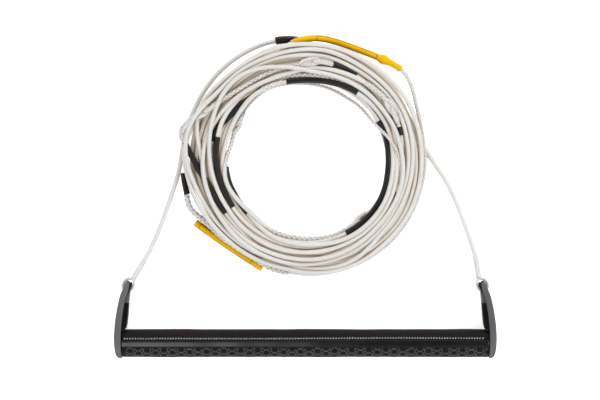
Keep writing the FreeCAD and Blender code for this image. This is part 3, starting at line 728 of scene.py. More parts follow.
def label_material(name, first, last):
    """Yellow shrunk sleeve with a thin printed frame between two places along it, in centimetres."""
    made = Shader(name, roughness=0.45, specular=0.10)
    long_way, about, _ = made.split(made.uv)
    middle, half = (first + last) / 2, (last - first) / 2
    off_middle = made.math("ABSOLUTE", made.math("SUBTRACT", long_way, middle))
    off_top = made.math("ABSOLUTE", made.math("SUBTRACT", about, 0.22))
    end_line = made.math("LESS_THAN", made.math("ABSOLUTE", made.math("SUBTRACT", off_middle, half)), 0.045)
    side_line = made.math("LESS_THAN", made.math("ABSOLUTE", made.math("SUBTRACT", off_top, 0.13)), 0.026)
    inside_long = made.math("LESS_THAN", off_middle, half)
    inside_about = made.math("LESS_THAN", off_top, 0.13)
    line = made.math("MAXIMUM", made.math("MULTIPLY", end_line, inside_about),
                     made.math("MULTIPLY", side_line, inside_long))
    # Painted shade: occlusion darkens the yellow in creases and next to other pieces.
    shade = made.ramp(made.crevice(0.008), (0.0, (0.28, 0.13, 0.0)), (0.55, (0.52, 0.29, 0.0)),
                      (0.95, (0.60, 0.345, 0.0)))
    worn = made.ramp(made.noise(120.0, 4.0), (0.3, (0.90, 0.90, 0.90)), (0.7, (1.0, 1.0, 1.0)))
    colour = made.mix(1.0, shade, worn, "MULTIPLY")
    colour = made.mix(made.math("MULTIPLY", line, 0.75), colour, (0.10, 0.05, 0.01, 1.0))
    return made.finish(colour, made.bump(made.noise(300.0), 0.15, 0.0004))


def grip_plain_material():
    made = Shader("grip_plain", roughness=0.62, specular=0.06)
    grain = made.noise(900.0, 3.0)
    smear = made.noise(1.0, 4.0, place=made.stretched(14.0, 90.0, 90.0))
    colour = made.ramp(smear, (0.3, (0.0045, 0.0030, 0.0025)), (0.7, (0.0105, 0.0076, 0.0063)))
    rough = made.ramp(smear, (0.3, 0.54), (0.75, 0.74))
    return made.finish(colour, made.bump(grain, 0.35, 0.0003), rough)


def grip_gloss_material():
    made = Shader("grip_gloss", roughness=0.16, specular=0.62)
    smear = made.noise(1.0, 3.0, place=made.stretched(10.0, 60.0, 60.0))
    colour = made.ramp(smear, (0.3, (0.0040, 0.0038, 0.0038)), (0.7, (0.0080, 0.0078, 0.0080)))
    rough = made.ramp(smear, (0.25, 0.13), (0.8, 0.24))
    return made.finish(colour, made.bump(smear, 0.20, 0.0010), rough)


def toned_material(name, roughness, specular, tone, stops, grain, sheen=0.0, rough=None):
    """A material of one tone. tone is its noise, grain the scale, strength and depth of its bump."""
    made = Shader(name, roughness=roughness, specular=specular, sheen=sheen)
    scale, strength, depth = grain
    shine = made.ramp(made.noise(300.0), *rough) if rough else None
    colour = made.ramp(made.noise(*tone), *stops)
    return made.finish(colour, made.bump(made.noise(scale), strength, depth), shine)


def grip_pattern_material():
    stops = ((0.3, (0.0036, 0.0029, 0.0027)), (0.7, (0.0066, 0.0055, 0.0052)))
    return toned_material("grip_pattern", 0.62, 0.06, (70.0,), stops, (1100.0, 0.4, 0.0003))


def rib_material():
    stops = ((0.25, (0.030, 0.030, 0.036)), (0.7, (0.062, 0.062, 0.074)))
    return toned_material("grip_rib", 0.55, 0.25, (90.0, 4.0), stops, (900.0, 0.3, 0.0003))


def thread_material():
    stops = ((0.3, (0.50, 0.49, 0.48)), (0.7, (0.70, 0.70, 0.70)))
    return toned_material("thread", 0.65, 0.3, (700.0,), stops, (2600.0, 0.4, 0.0003), sheen=0.3)


def ledge_material():
    stops = ((0.3, (0.046, 0.040, 0.035)), (0.7, (0.078, 0.068, 0.060)))
    return toned_material("arm_ledge", 0.55, 0.4, (60.0, 4.0), stops, (1400.0, 0.3, 0.0002))


def rubber_material(name, dark, light):
    low, high = ((shade, shade * 0.88, shade * 0.80) for shade in (dark, light))
    return toned_material(name, 0.58, 0.05, (80.0, 4.0), ((0.3, low), (0.75, high)), (1200.0, 0.3, 0.0002),
                          rough=((0.3, 0.46), (0.8, 0.66)))


def arm_material():
    made = Shader("arm_moulding", roughness=0.52, specular=0.22)
    grain = made.noise(1400.0, 2.0)
    flow = made.noise(1.0, 3.0, place=made.stretched(40.0, 12.0, 40.0))
    colour = made.ramp(flow, (0.3, (0.066, 0.063, 0.068)), (0.7, (0.086, 0.082, 0.089)))
    # Painted shade: the sides of the moulding are darker than its top and underside.
    colour = made.mix(1.0, colour, made.painted_side_shade(0.25, 0.95), "MULTIPLY")
    rough = made.ramp(made.noise(180.0), (0.3, 0.42), (0.8, 0.60))
    return made.finish(colour, made.bump(grain, 0.30, 0.0002), rough)


def metal_material(name, tone, roughness):
    made = Shader(name, roughness=roughness, metallic=1.0)
    brushed = made.noise(1.0, 4.0, place=made.stretched(30.0, 900.0, 900.0))
    colour = made.ramp(brushed, (0.3, (tone * 0.82, tone * 0.83, tone * 0.85)), (0.7, (tone, tone, tone)))
    return made.finish(colour, made.bump(brushed, 0.15, 0.0002))


def foam_material():
    made = Shader("float_foam", roughness=0.9, specular=0.2)
    cells = made.nodes.new("ShaderNodeTexVoronoi")
    made.links.new(made.place, cells.inputs["Vector"])
    cells.inputs["Scale"].default_value = 700.0
    colour = made.ramp(cells.outputs["Distance"], (0.0, (0.030, 0.031, 0.033)), (0.8, (0.075, 0.077, 0.080)))
    return made.finish(colour, made.bump(cells.outputs["Distance"], 0.6, 0.0005))


def floor_material():
    made = Shader("floor_paper", roughness=0.85, specular=0.1)
    made.skin.inputs["Emission Color"].default_value = (1.0, 1.0, 1.0, 1.0)
    made.skin.inputs["Emission Strength"].default_value = 0.55
    colour = made.ramp(made.noise(3.0), (0.3, (0.90, 0.90, 0.90)), (0.7, (0.92, 0.92, 0.92)))
    return made.finish(colour, made.bump(made.noise(400.0), 0.02, 0.0002))


ROPE = rope_material()
BRAID = braid_material()
SHRINK = shrink_material()
LABEL_TOP = label_material("label_top", 3.0, 9.6)
LABEL_LOW = label_material("label_low", 0.9, 7.4)
PAD = rubber_material("pad_rubber", 0.002, 0.005)
SEAL = rubber_material("seal_rubber", 0.006, 0.014)
THREAD = thread_material()
ARM = arm_material()
LEDGE = ledge_material()
ALLOY = metal_material("tube_alloy", 0.62, 0.32)
STEEL = metal_material("pin_steel", 0.55, 0.25)
FOAM = foam_material()

# ---------------------------------------------------------------- ropes


def rides(body, obj, slot_name, *nodes):
    """Puts a piece on a body and hides the CAD nodes it stands in for."""
    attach(obj, body)
    if nodes:
        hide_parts(*nodes)
    return obj


# Distance between the rings of a rope's skin, wider on the long mainline
LINE_SPACING = 2.0
MAIN_SPACING = 4.5

# The bridle
bridle_line = line_along("bridle", BRIDLE_ROUTE, LINE_SPACING)
bridle_run = run_of(bridle_line)
spliced = np.minimum(bridle_run, bridle_run[-1] - bridle_run)
bridle_wide = ROPE_R + 0.25 * np.clip((30.0 - spliced) / 8.0, 0.0, 1.0)
bridle = ring_mesh("bridle", tube_rings(bridle_line, bridle_wide), ROPE, run=bridle_run)
rides("rope", bridle, "rope_coated", "bridle_rope")

# Each bridle end is worked into a small braided eye through the end of an arm
EYE_ROUTE = [
    (186.5, -0.5, 0.0), (183.2, -1.4, 0.4), (180.6, 0.2, 1.2), (178.4, 3.0, 1.8), (177.2, 6.6, 2.0),
    (178.2, 10.4, 1.6), (181.6, 12.0, 1.0), (185.6, 11.2, 0.4), (188.4, 8.2, -0.4), (189.6, 4.4, -1.0),
    (189.0, 1.0, -0.6), (186.5, -0.5, 0.0),
]
EYE_R = 1.6
eyes = []
for side_name, hand in (("left", -1), ("right", 1)):
    route = [(hand * x, TIP_Y + y, TIP_Z + z) for x, y, z in EYE_ROUTE]
    closed = line_along(f"eye_{side_name}", route, 0.6)
    eye = braid(f"eye_{side_name}", closed, EYE_R - 0.5, BRAID, pitch=7.5, strands=8, thread=0.62)
    rides("rope", eye, "rope_braid", f"bridle_eye_{side_name}")
    splice_at = bridle_line[:12] if hand < 0 else bridle_line[-12:]
    splice = braid(f"eye_splice_{side_name}", splice_at, 2.45, BRAID, pitch=9.0, thread=0.8)
    rides("rope", splice, "rope_braid")
    eyes += [eye, splice]

# The mainline: the lead, then the wound turns
main_line = line_along("mainline", LEAD_ROUTE[:-1] + [tuple(point) for point in coil_points()], MAIN_SPACING)
main_run = run_of(main_line)
from_centre = main_line[:, :2] - (COIL_X, COIL_Y)
main_angle = np.degrees(np.unwrap(np.arctan2(from_centre[:, 1], from_centre[:, 0])))


def stretch(strand, start, end, spare=0.0):
    """The part of the mainline that a top strand makes between two angles."""
    return main_line[between(main_angle, wound_span(strand, start, end, spare))]


main_wide = np.full(len(main_line), ROPE_R)
for table, core in ((BRAIDS, CORE_R), (THIN_BRAIDS, THIN_CORE_R), (JOINTS, CORE_R)):
    for place in table.values():
        main_wide[between(main_angle, wound_span(*place))] = core
on_lead_braid = between(main_angle, LEAD_BRAID_SPAN)
main_wide[on_lead_braid] = CORE_R
mainline = ring_mesh("mainline", tube_rings(main_line, main_wide), ROPE, run=main_run)
rides("rope", mainline, "rope_coated", "mainline_coil", "mainline_lead")

for number, (name, place) in enumerate(SLEEVES.items()):
    piece = sleeve(f"{name}_shrunk", stretch(*place), SLEEVE_R + 0.1, SHRINK, wobble=0.22, seed=number)
    rides("rope", piece, "sleeve_black", name)
for name, place in BRAIDS.items():
    piece = braid(name, stretch(*place, spare=1.0), BRAID_R - 0.85, BRAID)
    rides("rope", piece, "rope_braid", *(["tow_loop"] if name == "braid_last_loop" else []))
THIN_SIZES = [(1.55, 0.95), (1.15, 0.75)]
thin_parts = []
for (radius, thread), place in zip(THIN_SIZES, THIN_BRAIDS.values()):
    thin_parts += braid_rings(resample(stretch(*place, spare=1.0), 0.9), radius, 13.0, 6, thread)
thin_braid = joined("braid_inner_end", thin_parts, BRAID)
rides("rope", thin_braid, "rope_braid")
lead_braid = braid("lead_braid", main_line[on_lead_braid], 1.75, BRAID, pitch=11.0, thread=0.7)
rides("rope", lead_braid, "rope_braid")


JOINT_WIDE = 3.0
JOINT_LIFT = 0.8


def joint_links(name, points, node):
    """Two spliced eyes that are looped through each other, over the middle of a line."""
    points = resample(points, 1.0)
    _, side, up = frames_along(points)
    count = len(points)
    middle = count // 2
    parts = []
    for first, last, tip in ((1, middle + 3, 0.25), (middle - 3, count - 2, 1.25)):
        centre = (first + last) / 2
        half = (last - first) / 2
        turn = np.linspace(0.0, TAU, 49)
        at = centre + half * np.cos(turn)
        wide = JOINT_WIDE * np.sin(turn)
        loop, flat, rise = (read_at(at, np.arange(count), rows) for rows in (points, side, up))
        loop = loop + wide[:, None] * (math.cos(tip) * flat + math.sin(tip) * rise) + JOINT_LIFT * rise
        parts += braid_rings(resample(loop, 0.8), 1.5, 11.0, 6, 1.25)
    piece = joined(f"{name}_braid", parts, BRAID)
    rides("rope", piece, "rope_braid", *node)
    return piece


for name, place in JOINTS.items():
    node = [] if name == "joint_left_inside" else [name]
    joint_links(name, stretch(*place, spare=1.5), node)

# The yellow label sleeve over the lead, with the lump of the knot inside it
label_end = main_run[np.argmin(np.abs(main_angle - LEAD_BRAID_SPAN[0]))] + 1.0
label_line = resample(main_line[(main_run >= 9.0) & (main_run <= label_end)], 1.6)
label_run = run_of(label_line)
LUMP_FROM_END, LUMP_HIGH, LUMP_LONG = 21.0, 1.9, 4.2
lump_at = label_run[-1] - LUMP_FROM_END
lump = LUMP_HIGH * np.exp(-((label_run - lump_at) / LUMP_LONG) ** 2)
label = sleeve("lead_label_yellow", label_line, LABEL_R + lump, LABEL_TOP, wall=0.6, wobble=0.10, seed=40)
rides("rope", label, "sleeve_yellow", "lead_label_sleeve")

# The ends of the black sleeve on the bridle's apex
APEX_SLEEVE = [(-30.0, 289.4, 3.3), (-5.5, 289.6, 3.3)]
first, last = (
    int(np.argmin(np.linalg.norm(bridle_line - np.array(end), axis=1))) for end in APEX_SLEEVE
)
apex = sleeve("apex_sleeve", bridle_line[first:last + 1], 4.0, SHRINK, tall=3.2, wobble=0.12, seed=50)
rides("rope", apex, "sleeve_black", "bridle_apex_sleeve")

# The lower left: a braided tail with a black sleeve and a flat yellow label
lower_line = line_along("lower_braid", LOWER_BRAID_ROUTE, LINE_SPACING)
lower_core = ring_mesh("lower_braid_core", tube_rings(lower_line, CORE_R), ROPE)
rides("rope", lower_core, "rope_coated")
LOWER_BRAID_TOP = 130.5
lower_braid = braid("lower_braid", lower_line[lower_line[:, 1] < LOWER_BRAID_TOP], BRAID_R - 0.75, BRAID)
rides("rope", lower_braid, "rope_braid", "joint_lower_left")
outer_line = read_back(nurbs("outer_sleeve", OUTER_SLEEVE_ROUTE))
outer_sleeve = sleeve("sleeve_left_outer_shrunk", outer_line, SLEEVE_R, SHRINK, wobble=0.15, seed=61)
rides("rope", outer_sleeve, "sleeve_black", "sleeve_left_outer")
low_label_line = line_along("lower_label", LOWER_LABEL_ROUTE, LINE_SPACING)
low_run = run_of(low_label_line) / run_of(low_label_line)[-1]
low_label = sleeve("lower_label_yellow", low_label_line, 3.9 + 0.6 * low_run ** 2, LABEL_LOW,
                   tall=3.2 - 0.6 * low_run ** 2, wall=0.6, seed=62)
rides("rope", low_label, "sleeve_yellow", "lower_label_sleeve")

# ---------------------------------------------------------------- the handle


# Angles round the grip, counted from straight up towards the bridle
SEAM_TOP = 21.0
SEAM_UNDER = 201.0
SEAM_GAP = 0.6
GLOSS_TOP = 12.0
GLOSS_END = -14.0
GLOSS_GAP = 0.2
# Size in mm of the waves in the grip's surface
SWELL = 0.11


def grip_point(x, angle, radius):
    """A point on the grip, its angle counted from straight up towards the bridle."""
    turn = math.radians(angle)
    return (x, BAR_Y + radius * math.sin(turn), BAR_Z + radius * math.cos(turn))


def grip_swell(x, angle):
    """The slight unevenness of a cover pulled over a tube."""
    long_wave = math.sin(x * 0.045 + 1.3)
    middle_wave = 0.7 * math.sin(x * 0.083 + 0.4)
    short_wave = 0.5 * math.sin(x * 0.151 + angle * 0.02)
    return SWELL * (long_wave + middle_wave + short_wave)


def stitch_angle(x):
    """The seam wanders a little along the grip."""
    return SEAM_TOP + 3.2 / (1.0 + math.exp(-(x - 40.0) / 22.0)) - 2.0 / (1.0 + math.exp(-(x - 130.0) / 14.0))


def grip_panel(name, first, last, material, kind, panel):
    """A wrapped panel of the grip cover from one angle to another, turned in along its edges."""
    length_steps = 153
    steps = max(6, int(abs(last - first) / 5))
    around = math.radians(abs(last - first)) * GRIP_R
    edge = [(0.0, -1.2), (0.0, -0.45), (0.06 / around, -0.12), (0.16 / around, 0.0), (0.26 / around, 0.0),
            (0.40 / around, 0.0)]
    flat = 0.8 / around
    shares = edge + [(flat + (1.0 - 2.0 * flat) * k / steps, 0.0) for k in range(steps + 1)]
    shares += [(1.0 - share, sink) for share, sink in edge[::-1]]
    ends = [(0.0, -1.2), (0.0, -0.5), (0.0025, -0.1)]
    runs = ends + [(0.006 + 0.988 * k / length_steps, 0.0) for k in range(length_steps + 1)]
    runs += [(1.0 - share, sink) for share, sink in ends[::-1]]
    verts = []
    for along, end_sink in runs:
        x = -HALF_GRIP + 2 * HALF_GRIP * along
        wander = stitch_angle(x) - SEAM_TOP
        for about, sink in shares:
            angle = first + (last - first) * about
            near_seam = max(0.0, 1.0 - abs(angle - SEAM_TOP) / 30.0)
            angle += wander * near_seam
            place = grip_point(x, angle, GRIP_R + sink + end_sink + grip_swell(x, angle))
            verts.append([v * MM for v in place])
    wide = len(shares)
    faces = []
    for row in range(len(runs) - 1):
        for column in range(wide - 1):
            corner = row * wide + column
            faces.append((corner, corner + 1, corner + wide + 1, corner + wide))
    mesh = bpy.data.meshes.new(name)
    mesh.from_pydata(verts, [], faces)
    obj = shown(name, mesh, material)
    return rides("handle", obj, f"grip_{kind}", f"grip_panel_{panel}")


PANELS = [
    ("grip_upper", SEAM_TOP + SEAM_GAP, SEAM_UNDER - SEAM_GAP, grip_plain_material, "plain", "plain"),
    ("grip_seam_edge", GLOSS_TOP + GLOSS_GAP, SEAM_TOP - SEAM_GAP, grip_pattern_material,
     "pattern", "patterned"),
    ("grip_gloss", GLOSS_END + GLOSS_GAP, GLOSS_TOP - GLOSS_GAP, grip_gloss_material, "pattern", "patterned"),
    ("grip_front", SEAM_UNDER - 360.0 + SEAM_GAP, GLOSS_END - GLOSS_GAP, grip_pattern_material,
     "pattern", "patterned"),
]
for name, first, last, material, kind, panel in PANELS:
    grip_panel(name, first, last, material(), kind, panel)

RING_PITCH = 17.6
RING_ROW = 3.9
RING_R = 3.75
RING_DRIFT = 0.038
RIB_WIDE = 0.46
RIB_PROUD = 0.16
RIB_SUNK = -0.15
RIB_MARGIN = 0.6


def rib_rings(points):
    """Rings of a low rib along points given as place along the grip and distance round it."""
    rings = []
    for index, (x, arc) in enumerate(points):
        before = points[max(index - 1, 0)]
        after = points[min(index + 1, len(points) - 1)]
        dx, da = after[0] - before[0], after[1] - before[1]
        size = math.hypot(dx, da) or 1.0
        nx, na = -da / size * RIB_WIDE, dx / size * RIB_WIDE
        lx, la, rx, ra = x + nx, arc + na, x - nx, arc - na
        ring = []
        for at_x, at_arc, rise in ((lx, la, RIB_SUNK), (lx * 0.7 + rx * 0.3, la * 0.7 + ra * 0.3, RIB_PROUD),
                                   (lx * 0.3 + rx * 0.7, la * 0.3 + ra * 0.7, RIB_PROUD), (rx, ra, RIB_SUNK)):
            angle = -math.degrees(at_arc / GRIP_R)
            ring.append(grip_point(at_x, angle, GRIP_R + rise + grip_swell(at_x, angle)))
        rings.append(ring)
    return np.array(rings)


def on_relief(place, top, bottom):
    return top + RIB_MARGIN < place[1] < bottom - RIB_MARGIN and abs(place[0]) < HALF_GRIP - 1.0


def grip_ribs():
    """Rings in staggered rows, joined by short bars, all round the patterned panel."""
    parts = []
    top = math.radians(-GLOSS_END) * GRIP_R
    bottom = math.radians(360.0 - SEAM_UNDER) * GRIP_R
    columns = int(2 * HALF_GRIP / RING_PITCH) + 1
    rows = int((bottom - top + 2 * HALF_GRIP * RING_DRIFT) / RING_ROW) + 1
    for row in range(rows):
        arc = top + 1.1 + row * RING_ROW
        for column in range(columns):
            x = -HALF_GRIP + 17.8 + column * RING_PITCH - (row % 2) * RING_PITCH / 2
            middle = arc - (x + HALF_GRIP) * RING_DRIFT
            pieces = [[]]
            for k in range(25):
                turn = k * TAU / 24
                reach = RING_R * (1.0 + 0.05 * math.cos(6 * turn))
                place = (x + reach * math.cos(turn), middle + reach * math.sin(turn))
                if on_relief(place, top, bottom):
                    pieces[-1].append(place)
                elif pieces[-1]:
                    pieces.append([])
            parts += [rib_rings(piece) for piece in pieces if len(piece) > 2]
            for way in (-1, 1):
                reach_x, reach_y = way * RING_PITCH / 2, RING_ROW - way * RING_DRIFT * RING_PITCH / 2
                size = math.hypot(reach_x, reach_y)
                ux, uy = reach_x / size, reach_y / size
                bar = [(x + ux * d, middle + uy * d) for d in (RING_R, size / 2, size - RING_R)]
                if all(on_relief(place, top, bottom) for place in bar):
                    parts.append(rib_rings(bar))
    ribs = joined("grip_ribs", parts, rib_material())
    return rides("handle", ribs, "grip_pattern")


grip_ribs()

STITCH_PITCH = 2.8
STITCH_LONG = 1.8
STITCH_R = 0.29


def seam_stitches(name, seam_angle, node, wanders):
    """One row of slanted stitches that bridge a seam."""
    parts = []
    count = int((2 * HALF_GRIP - 6.0) / STITCH_PITCH)
    rng = np.random.default_rng(3)
    for number in range(count):
        x = -HALF_GRIP + 3.5 + number * STITCH_PITCH + rng.normal(0, 0.08)
        middle = stitch_angle(x) if wanders else seam_angle
        slant = math.radians(58.0 + rng.normal(0, 3.0))
        line = []
        for share in np.linspace(-0.5, 0.5, 7):
            shift = STITCH_LONG * share
            proud = 0.42 * math.cos(math.pi * share) - 0.05
            place_x = x + shift * math.cos(slant)
            angle = middle + math.degrees(shift * math.sin(slant) / GRIP_R)
            line.append(grip_point(place_x, angle, GRIP_R + proud + grip_swell(place_x, angle)))
        line = np.array(line)
        thin = STITCH_R * np.array([0.5, 0.9, 1.0, 1.0, 1.0, 0.9, 0.5])
        parts.append(tube_rings(line, thin, around=6))
    stitches = joined(name, parts, THREAD)
    return rides("handle", stitches, "thread", node)


seam_stitches("stitches_top", SEAM_TOP, "seam_thread_top", True)
seam_stitches("stitches_under", SEAM_UNDER, "seam_thread_under", False)


def arc_through(start, middle, end, steps):
    """Points of the circle through three points, from the first to the last."""
    (ax, ay), (bx, by), (cx, cy) = start, middle, end
    d = 2 * (ax * (by - cy) + bx * (cy - ay) + cx * (ay - by))
    a2, b2, c2 = (x * x + y * y for x, y in (start, middle, end))
    ux = (a2 * (by - cy) + b2 * (cy - ay) + c2 * (ay - by)) / d
    uy = (a2 * (cx - bx) + b2 * (ax - cx) + c2 * (bx - ax)) / d
    radius = math.hypot(ax - ux, ay - uy)
    first = math.atan2(ay - uy, ax - ux)
    last = math.atan2(cy - uy, cx - ux)
    sweep = (last - first + math.pi) % TAU - math.pi
    turns = [first + sweep * k / steps for k in range(steps + 1)]
    return [(ux + radius * math.cos(turn), uy + radius * math.sin(turn)) for turn in turns]


BAR_END_R, TIP_R = 16.0, 9.5
ARM_LOW = BAR_Y - BAR_END_R
ARM_TOP = TIP_Y + TIP_R
OUTER_EDGE = [(192.0, ARM_LOW), (193.4, ARM_LOW + 0.7), (194.8, ARM_LOW + 2.2), (195.8, ARM_LOW + 4.2),
              (196.4, ARM_LOW + 7.0), (197.0, ARM_LOW + 12.0), (197.5, BAR_Y + 5.0)]
OUTER_EDGE += arc_through((197.5, BAR_Y + 5.0), (194.7, BAR_Y + 36.0), (187.2, ARM_TOP), 16)[1:]


def edge_x(edge, y):
    return float(np.interp(y, [point[1] for point in edge], [point[0] for point in edge]))


def drop_heights(y):
    """Lowest and highest point of an arm's side outline at a place along it."""
    reach = TIP_Y - BAR_Y
    rise = TIP_Z - BAR_Z
    gap = math.hypot(reach, rise)
    lean = math.atan2(rise, reach)
    spread = math.acos((BAR_END_R - TIP_R) / gap)
    heights = []
    for sign in (1, -1):
        normal = lean + sign * spread
        nx, nz = math.cos(normal), math.sin(normal)
        start = BAR_Y + BAR_END_R * nx
        end = TIP_Y + TIP_R * nx
        if y < start:
            off = math.sqrt(max(BAR_END_R ** 2 - (y - BAR_Y) ** 2, 0.0))
            heights.append(BAR_Z + sign * off)
        elif y > end:
            off = math.sqrt(max(TIP_R ** 2 - (y - TIP_Y) ** 2, 0.0))
            heights.append(TIP_Z + sign * off)
        else:
            share = (y - start) / (end - start)
            heights.append((1 - share) * (BAR_Z + BAR_END_R * nz) + share * (TIP_Z + TIP_R * nz))
    return heights[1], heights[0]


def arm_section(x0, x1, z0, z1, corner):
    """A rounded rectangle as a ring of points."""
    corner = min(corner, 0.49 * (x1 - x0), 0.49 * (z1 - z0))
    ring = []
    for cx, cz, start in ((x1 - corner, z1 - corner, 0), (x0 + corner, z1 - corner, 90),
                          (x0 + corner, z0 + corner, 180), (x1 - corner, z0 + corner, 270)):
        for k in range(5):
            turn = math.radians(start + 22.5 * k)
            ring.append((cx + corner * math.cos(turn), cz + corner * math.sin(turn)))
    return ring


def arm_body(name, hand, material, y_low, y_high, shape, corner):
    """A lofted moulding along an arm. shape gives its x and z limits at a place along it."""
    places = [y_low + (y_high - y_low) * (0.5 - 0.5 * math.cos(math.pi * k / 60)) for k in range(61)]
    rings = np.array([[(hand * x, y, z) for x, z in arm_section(*shape(y), corner)] for y in places])
    if hand < 0:
        rings = rings[:, ::-1, :]
    return ring_mesh(name, rings, material)


# The plate's inner edge: the ledge, the pad and the rope's socket stand on its inner side
PLATE_EDGE = [
    (190.0, ARM_LOW), (190.4, BAR_Y + 9.6), (189.8, BAR_Y + 19.0), (188.8, BAR_Y + 29.5),
    (187.1, BAR_Y + 40.6), (186.0, BAR_Y + 46.0), (184.2, BAR_Y + 51.2), (182.8, BAR_Y + 55.0),
    (182.2, BAR_Y + 60.0), (182.4, ARM_TOP),
]
# How far the plate's outer corner is cut back near the tip
TIP_CUT = [(0.0, BAR_Y + 49.0), (0.7, BAR_Y + 55.0), (1.0, BAR_Y + 59.0), (1.3, BAR_Y + 61.5),
           (1.6, BAR_Y + 62.8), (2.1, ARM_TOP)]
LEDGE_EDGE = [(182.9, BAR_Y + 41.0), (181.8, BAR_Y + 51.0), (181.4, BAR_Y + 55.0)]
SOCKET_EDGE = [(182.6, BAR_Y + 51.0), (181.5, BAR_Y + 55.0), (179.9, BAR_Y + 59.0), (179.5, BAR_Y + 62.0),
               (180.2, ARM_TOP)]
PAD_EDGE = [(185.9, BAR_Y + 15.0), (184.6, BAR_Y + 19.5), (183.6, BAR_Y + 29.5), (182.7, BAR_Y + 41.6)]
PAD_LOW, PAD_HIGH = BAR_Y + 14.0, BAR_Y + 41.6
PAD_FOOT = 2.2
LEDGE_HIGH = BAR_Y + 54.5
SOCKET_LOW, SOCKET_HIGH = LEDGE_HIGH - 2.0, ARM_TOP - 1.6
# How far the pieces on a plate's inner side reach into it
PLATE_LAP = 0.6


def plate_shape(y):
    low, high = drop_heights(y)
    return edge_x(PLATE_EDGE, y), edge_x(OUTER_EDGE, y) - edge_x(TIP_CUT, y), low, high


def inner_shape(edge, under, over):
    """Limits of a piece on the plate's inner side, set in from the arm's outline below and above."""
    def shape(y):
        low, high = drop_heights(y)
        return edge_x(edge, y), edge_x(PLATE_EDGE, y) + PLATE_LAP, low + under, high - over
    return shape


ledge_shape = inner_shape(LEDGE_EDGE, 2.4, 2.6)
socket_shape = inner_shape(SOCKET_EDGE, 1.6, 1.8)


def bored(obj, hand, radius):
    """Cuts the rope's hole through the end of an arm."""
    bpy.ops.mesh.primitive_cylinder_add(vertices=40, radius=radius * MM, depth=0.06,
                                        location=(hand * 0.185, TIP_Y * MM, TIP_Z * MM),
                                        rotation=(0.0, math.pi / 2, 0.0))
    cutter = bpy.context.active_object
    cut = obj.modifiers.new("bore", "BOOLEAN")
    cut.operation = "DIFFERENCE"
    cut.solver = "EXACT"
    cut.object = cutter
    bpy.context.view_layer.objects.active = obj
    bpy.ops.object.modifier_apply(modifier="bore")
    bpy.data.objects.remove(cutter)
    obj.data.polygons.foreach_set("use_smooth", [True] * len(obj.data.polygons))
    obj.data.set_sharp_from_angle(angle=math.radians(35))
    return obj


def pad_shape(y):
    """The black pad on the inner side of an arm, which widens towards the bar and has a slanted foot."""
    foot = float(np.clip((PAD_LOW + PAD_FOOT - y) / PAD_FOOT, 0.0, 1.0))
    inner, *limits = inner_shape(PAD_EDGE, 2.6, 1.4)(y)
    return (inner + 2.0 * foot, *limits)


for side_name, hand in (("left", -1), ("right", 1)):
    plate = arm_body(f"arm_plate_{side_name}", hand, ARM, ARM_LOW + 0.02, ARM_TOP - 0.02, plate_shape, 1.3)
    rides("handle", bored(plate, hand, 4.0), "arm_moulding", f"arm_{side_name}")
    ledge = arm_body(f"arm_ledge_{side_name}", hand, LEDGE, PAD_HIGH - 1.0, LEDGE_HIGH, ledge_shape, 0.9)
    rides("handle", ledge, "arm_moulding")
    socket = arm_body(f"arm_socket_{side_name}", hand, SEAL, SOCKET_LOW, SOCKET_HIGH, socket_shape, 0.9)
    rides("handle", bored(socket, hand, 3.6), "arm_moulding")
    pad = arm_body(f"arm_pad_soft_{side_name}", hand, PAD, PAD_LOW, PAD_HIGH, pad_shape, 1.1)
    rides("handle", pad, "pad", f"arm_pad_{side_name}")
    web_line = np.array([(hand * 185.0, BAR_Y + 16.2, 18.0), (hand * 187.2, BAR_Y + 14.0, 18.0),
                         (hand * 189.6, BAR_Y + 12.0, 18.0)])
    web = ring_mesh(f"arm_web_{side_name}", tube_rings(web_line, 0.35, 8.5), ARM)
    rides("handle", web, "arm_moulding")

INNER_NODES = {
    "core_tube": ALLOY, "float_core": FOAM, "spigot_seal_left": SEAL, "spigot_seal_right": SEAL,
    "cross_pin_left": STEEL, "cross_pin_right": STEEL,
}
for name, material in INNER_NODES.items():
    node = frame["nodes"][name]
    node.data.materials.clear()
    node.data.materials.append(material)

# ---------------------------------------------------------------- floor, light and camera

floor_mesh = bpy.data.meshes.new("floor")
floor_mesh.from_pydata([(-6, -6, 0), (6, -6, 0), (6, 6, 0), (-6, 6, 0)], [], [(0, 1, 2, 3)])
floor_mesh.materials.append(floor_material())
floor = bpy.data.objects.new("floor", floor_mesh)
bpy.context.scene.collection.objects.link(floor)

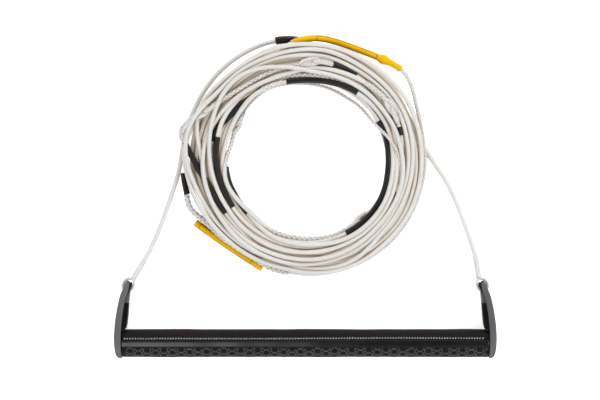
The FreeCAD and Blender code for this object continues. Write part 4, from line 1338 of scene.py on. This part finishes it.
world = bpy.data.worlds.new("studio")
bpy.context.scene.world = world
world.use_nodes = True
sky = world.node_tree.nodes
heading = sky.new("ShaderNodeTexCoord")
parts_of_heading = sky.new("ShaderNodeSeparateXYZ")
shade_of_sky = sky.new("ShaderNodeValToRGB")
world.node_tree.links.new(heading.outputs["Generated"], parts_of_heading.inputs[0])
world.node_tree.links.new(parts_of_heading.outputs[2], shade_of_sky.inputs["Fac"])
world.node_tree.links.new(shade_of_sky.outputs["Color"], sky["Background"].inputs["Color"])
SKY_SHADES = [(0.0, 0.16), (0.35, 0.40), (0.52, 1.0), (0.68, 1.0), (0.78, 0.03)]
while len(shade_of_sky.color_ramp.elements) < len(SKY_SHADES):
    shade_of_sky.color_ramp.elements.new(0.5)
for mark, (place, shade) in zip(shade_of_sky.color_ramp.elements, SKY_SHADES):
    mark.position = place
    mark.color = (shade, shade, shade, 1.0)
sky["Background"].inputs["Strength"].default_value = 1.9

LOOK_AT = Vector((0.0, 0.12, 0.0))
CAMERA_AT = (-0.0055, 0.1239, 3.123)


def softbox(name, place, size, power, aimed=True):
    lamp = bpy.data.lights.new(name, "AREA")
    lamp.shape = "RECTANGLE"
    lamp.size, lamp.size_y = size
    lamp.energy = power
    obj = bpy.data.objects.new(name, lamp)
    obj.location = place
    if aimed:
        obj.rotation_euler = (LOOK_AT - Vector(place)).to_track_quat("-Z", "Y").to_euler()
    bpy.context.scene.collection.objects.link(obj)


softbox("softbox_left", (-0.92, -0.40, 2.1), (1.6, 1.27), 15.0, aimed=False)
softbox("softbox_back", (0.2, 2.9, 1.15), (2.4, 0.9), 52.0)
softbox("softbox_right", (2.1, 0.2, 1.6), (1.4, 1.8), 26.0)
softbox("softbox_front", (-0.3, -2.3, 1.7), (2.2, 1.2), 38.0)

camera = bpy.data.objects.new("camera", bpy.data.cameras.new("camera"))
camera.data.lens = 180.0
camera.data.sensor_width = 36.0
camera.location = CAMERA_AT
camera.data.clip_end = 20.0
bpy.context.scene.collection.objects.link(camera)
bpy.context.scene.camera = camera
bpy.context.scene.view_settings.view_transform = "Standard"

# Only the tubes and strands show, not the lines that they follow
for line in [obj for obj in bpy.data.objects if obj.name.endswith("_line")]:
    bpy.data.objects.remove(line)
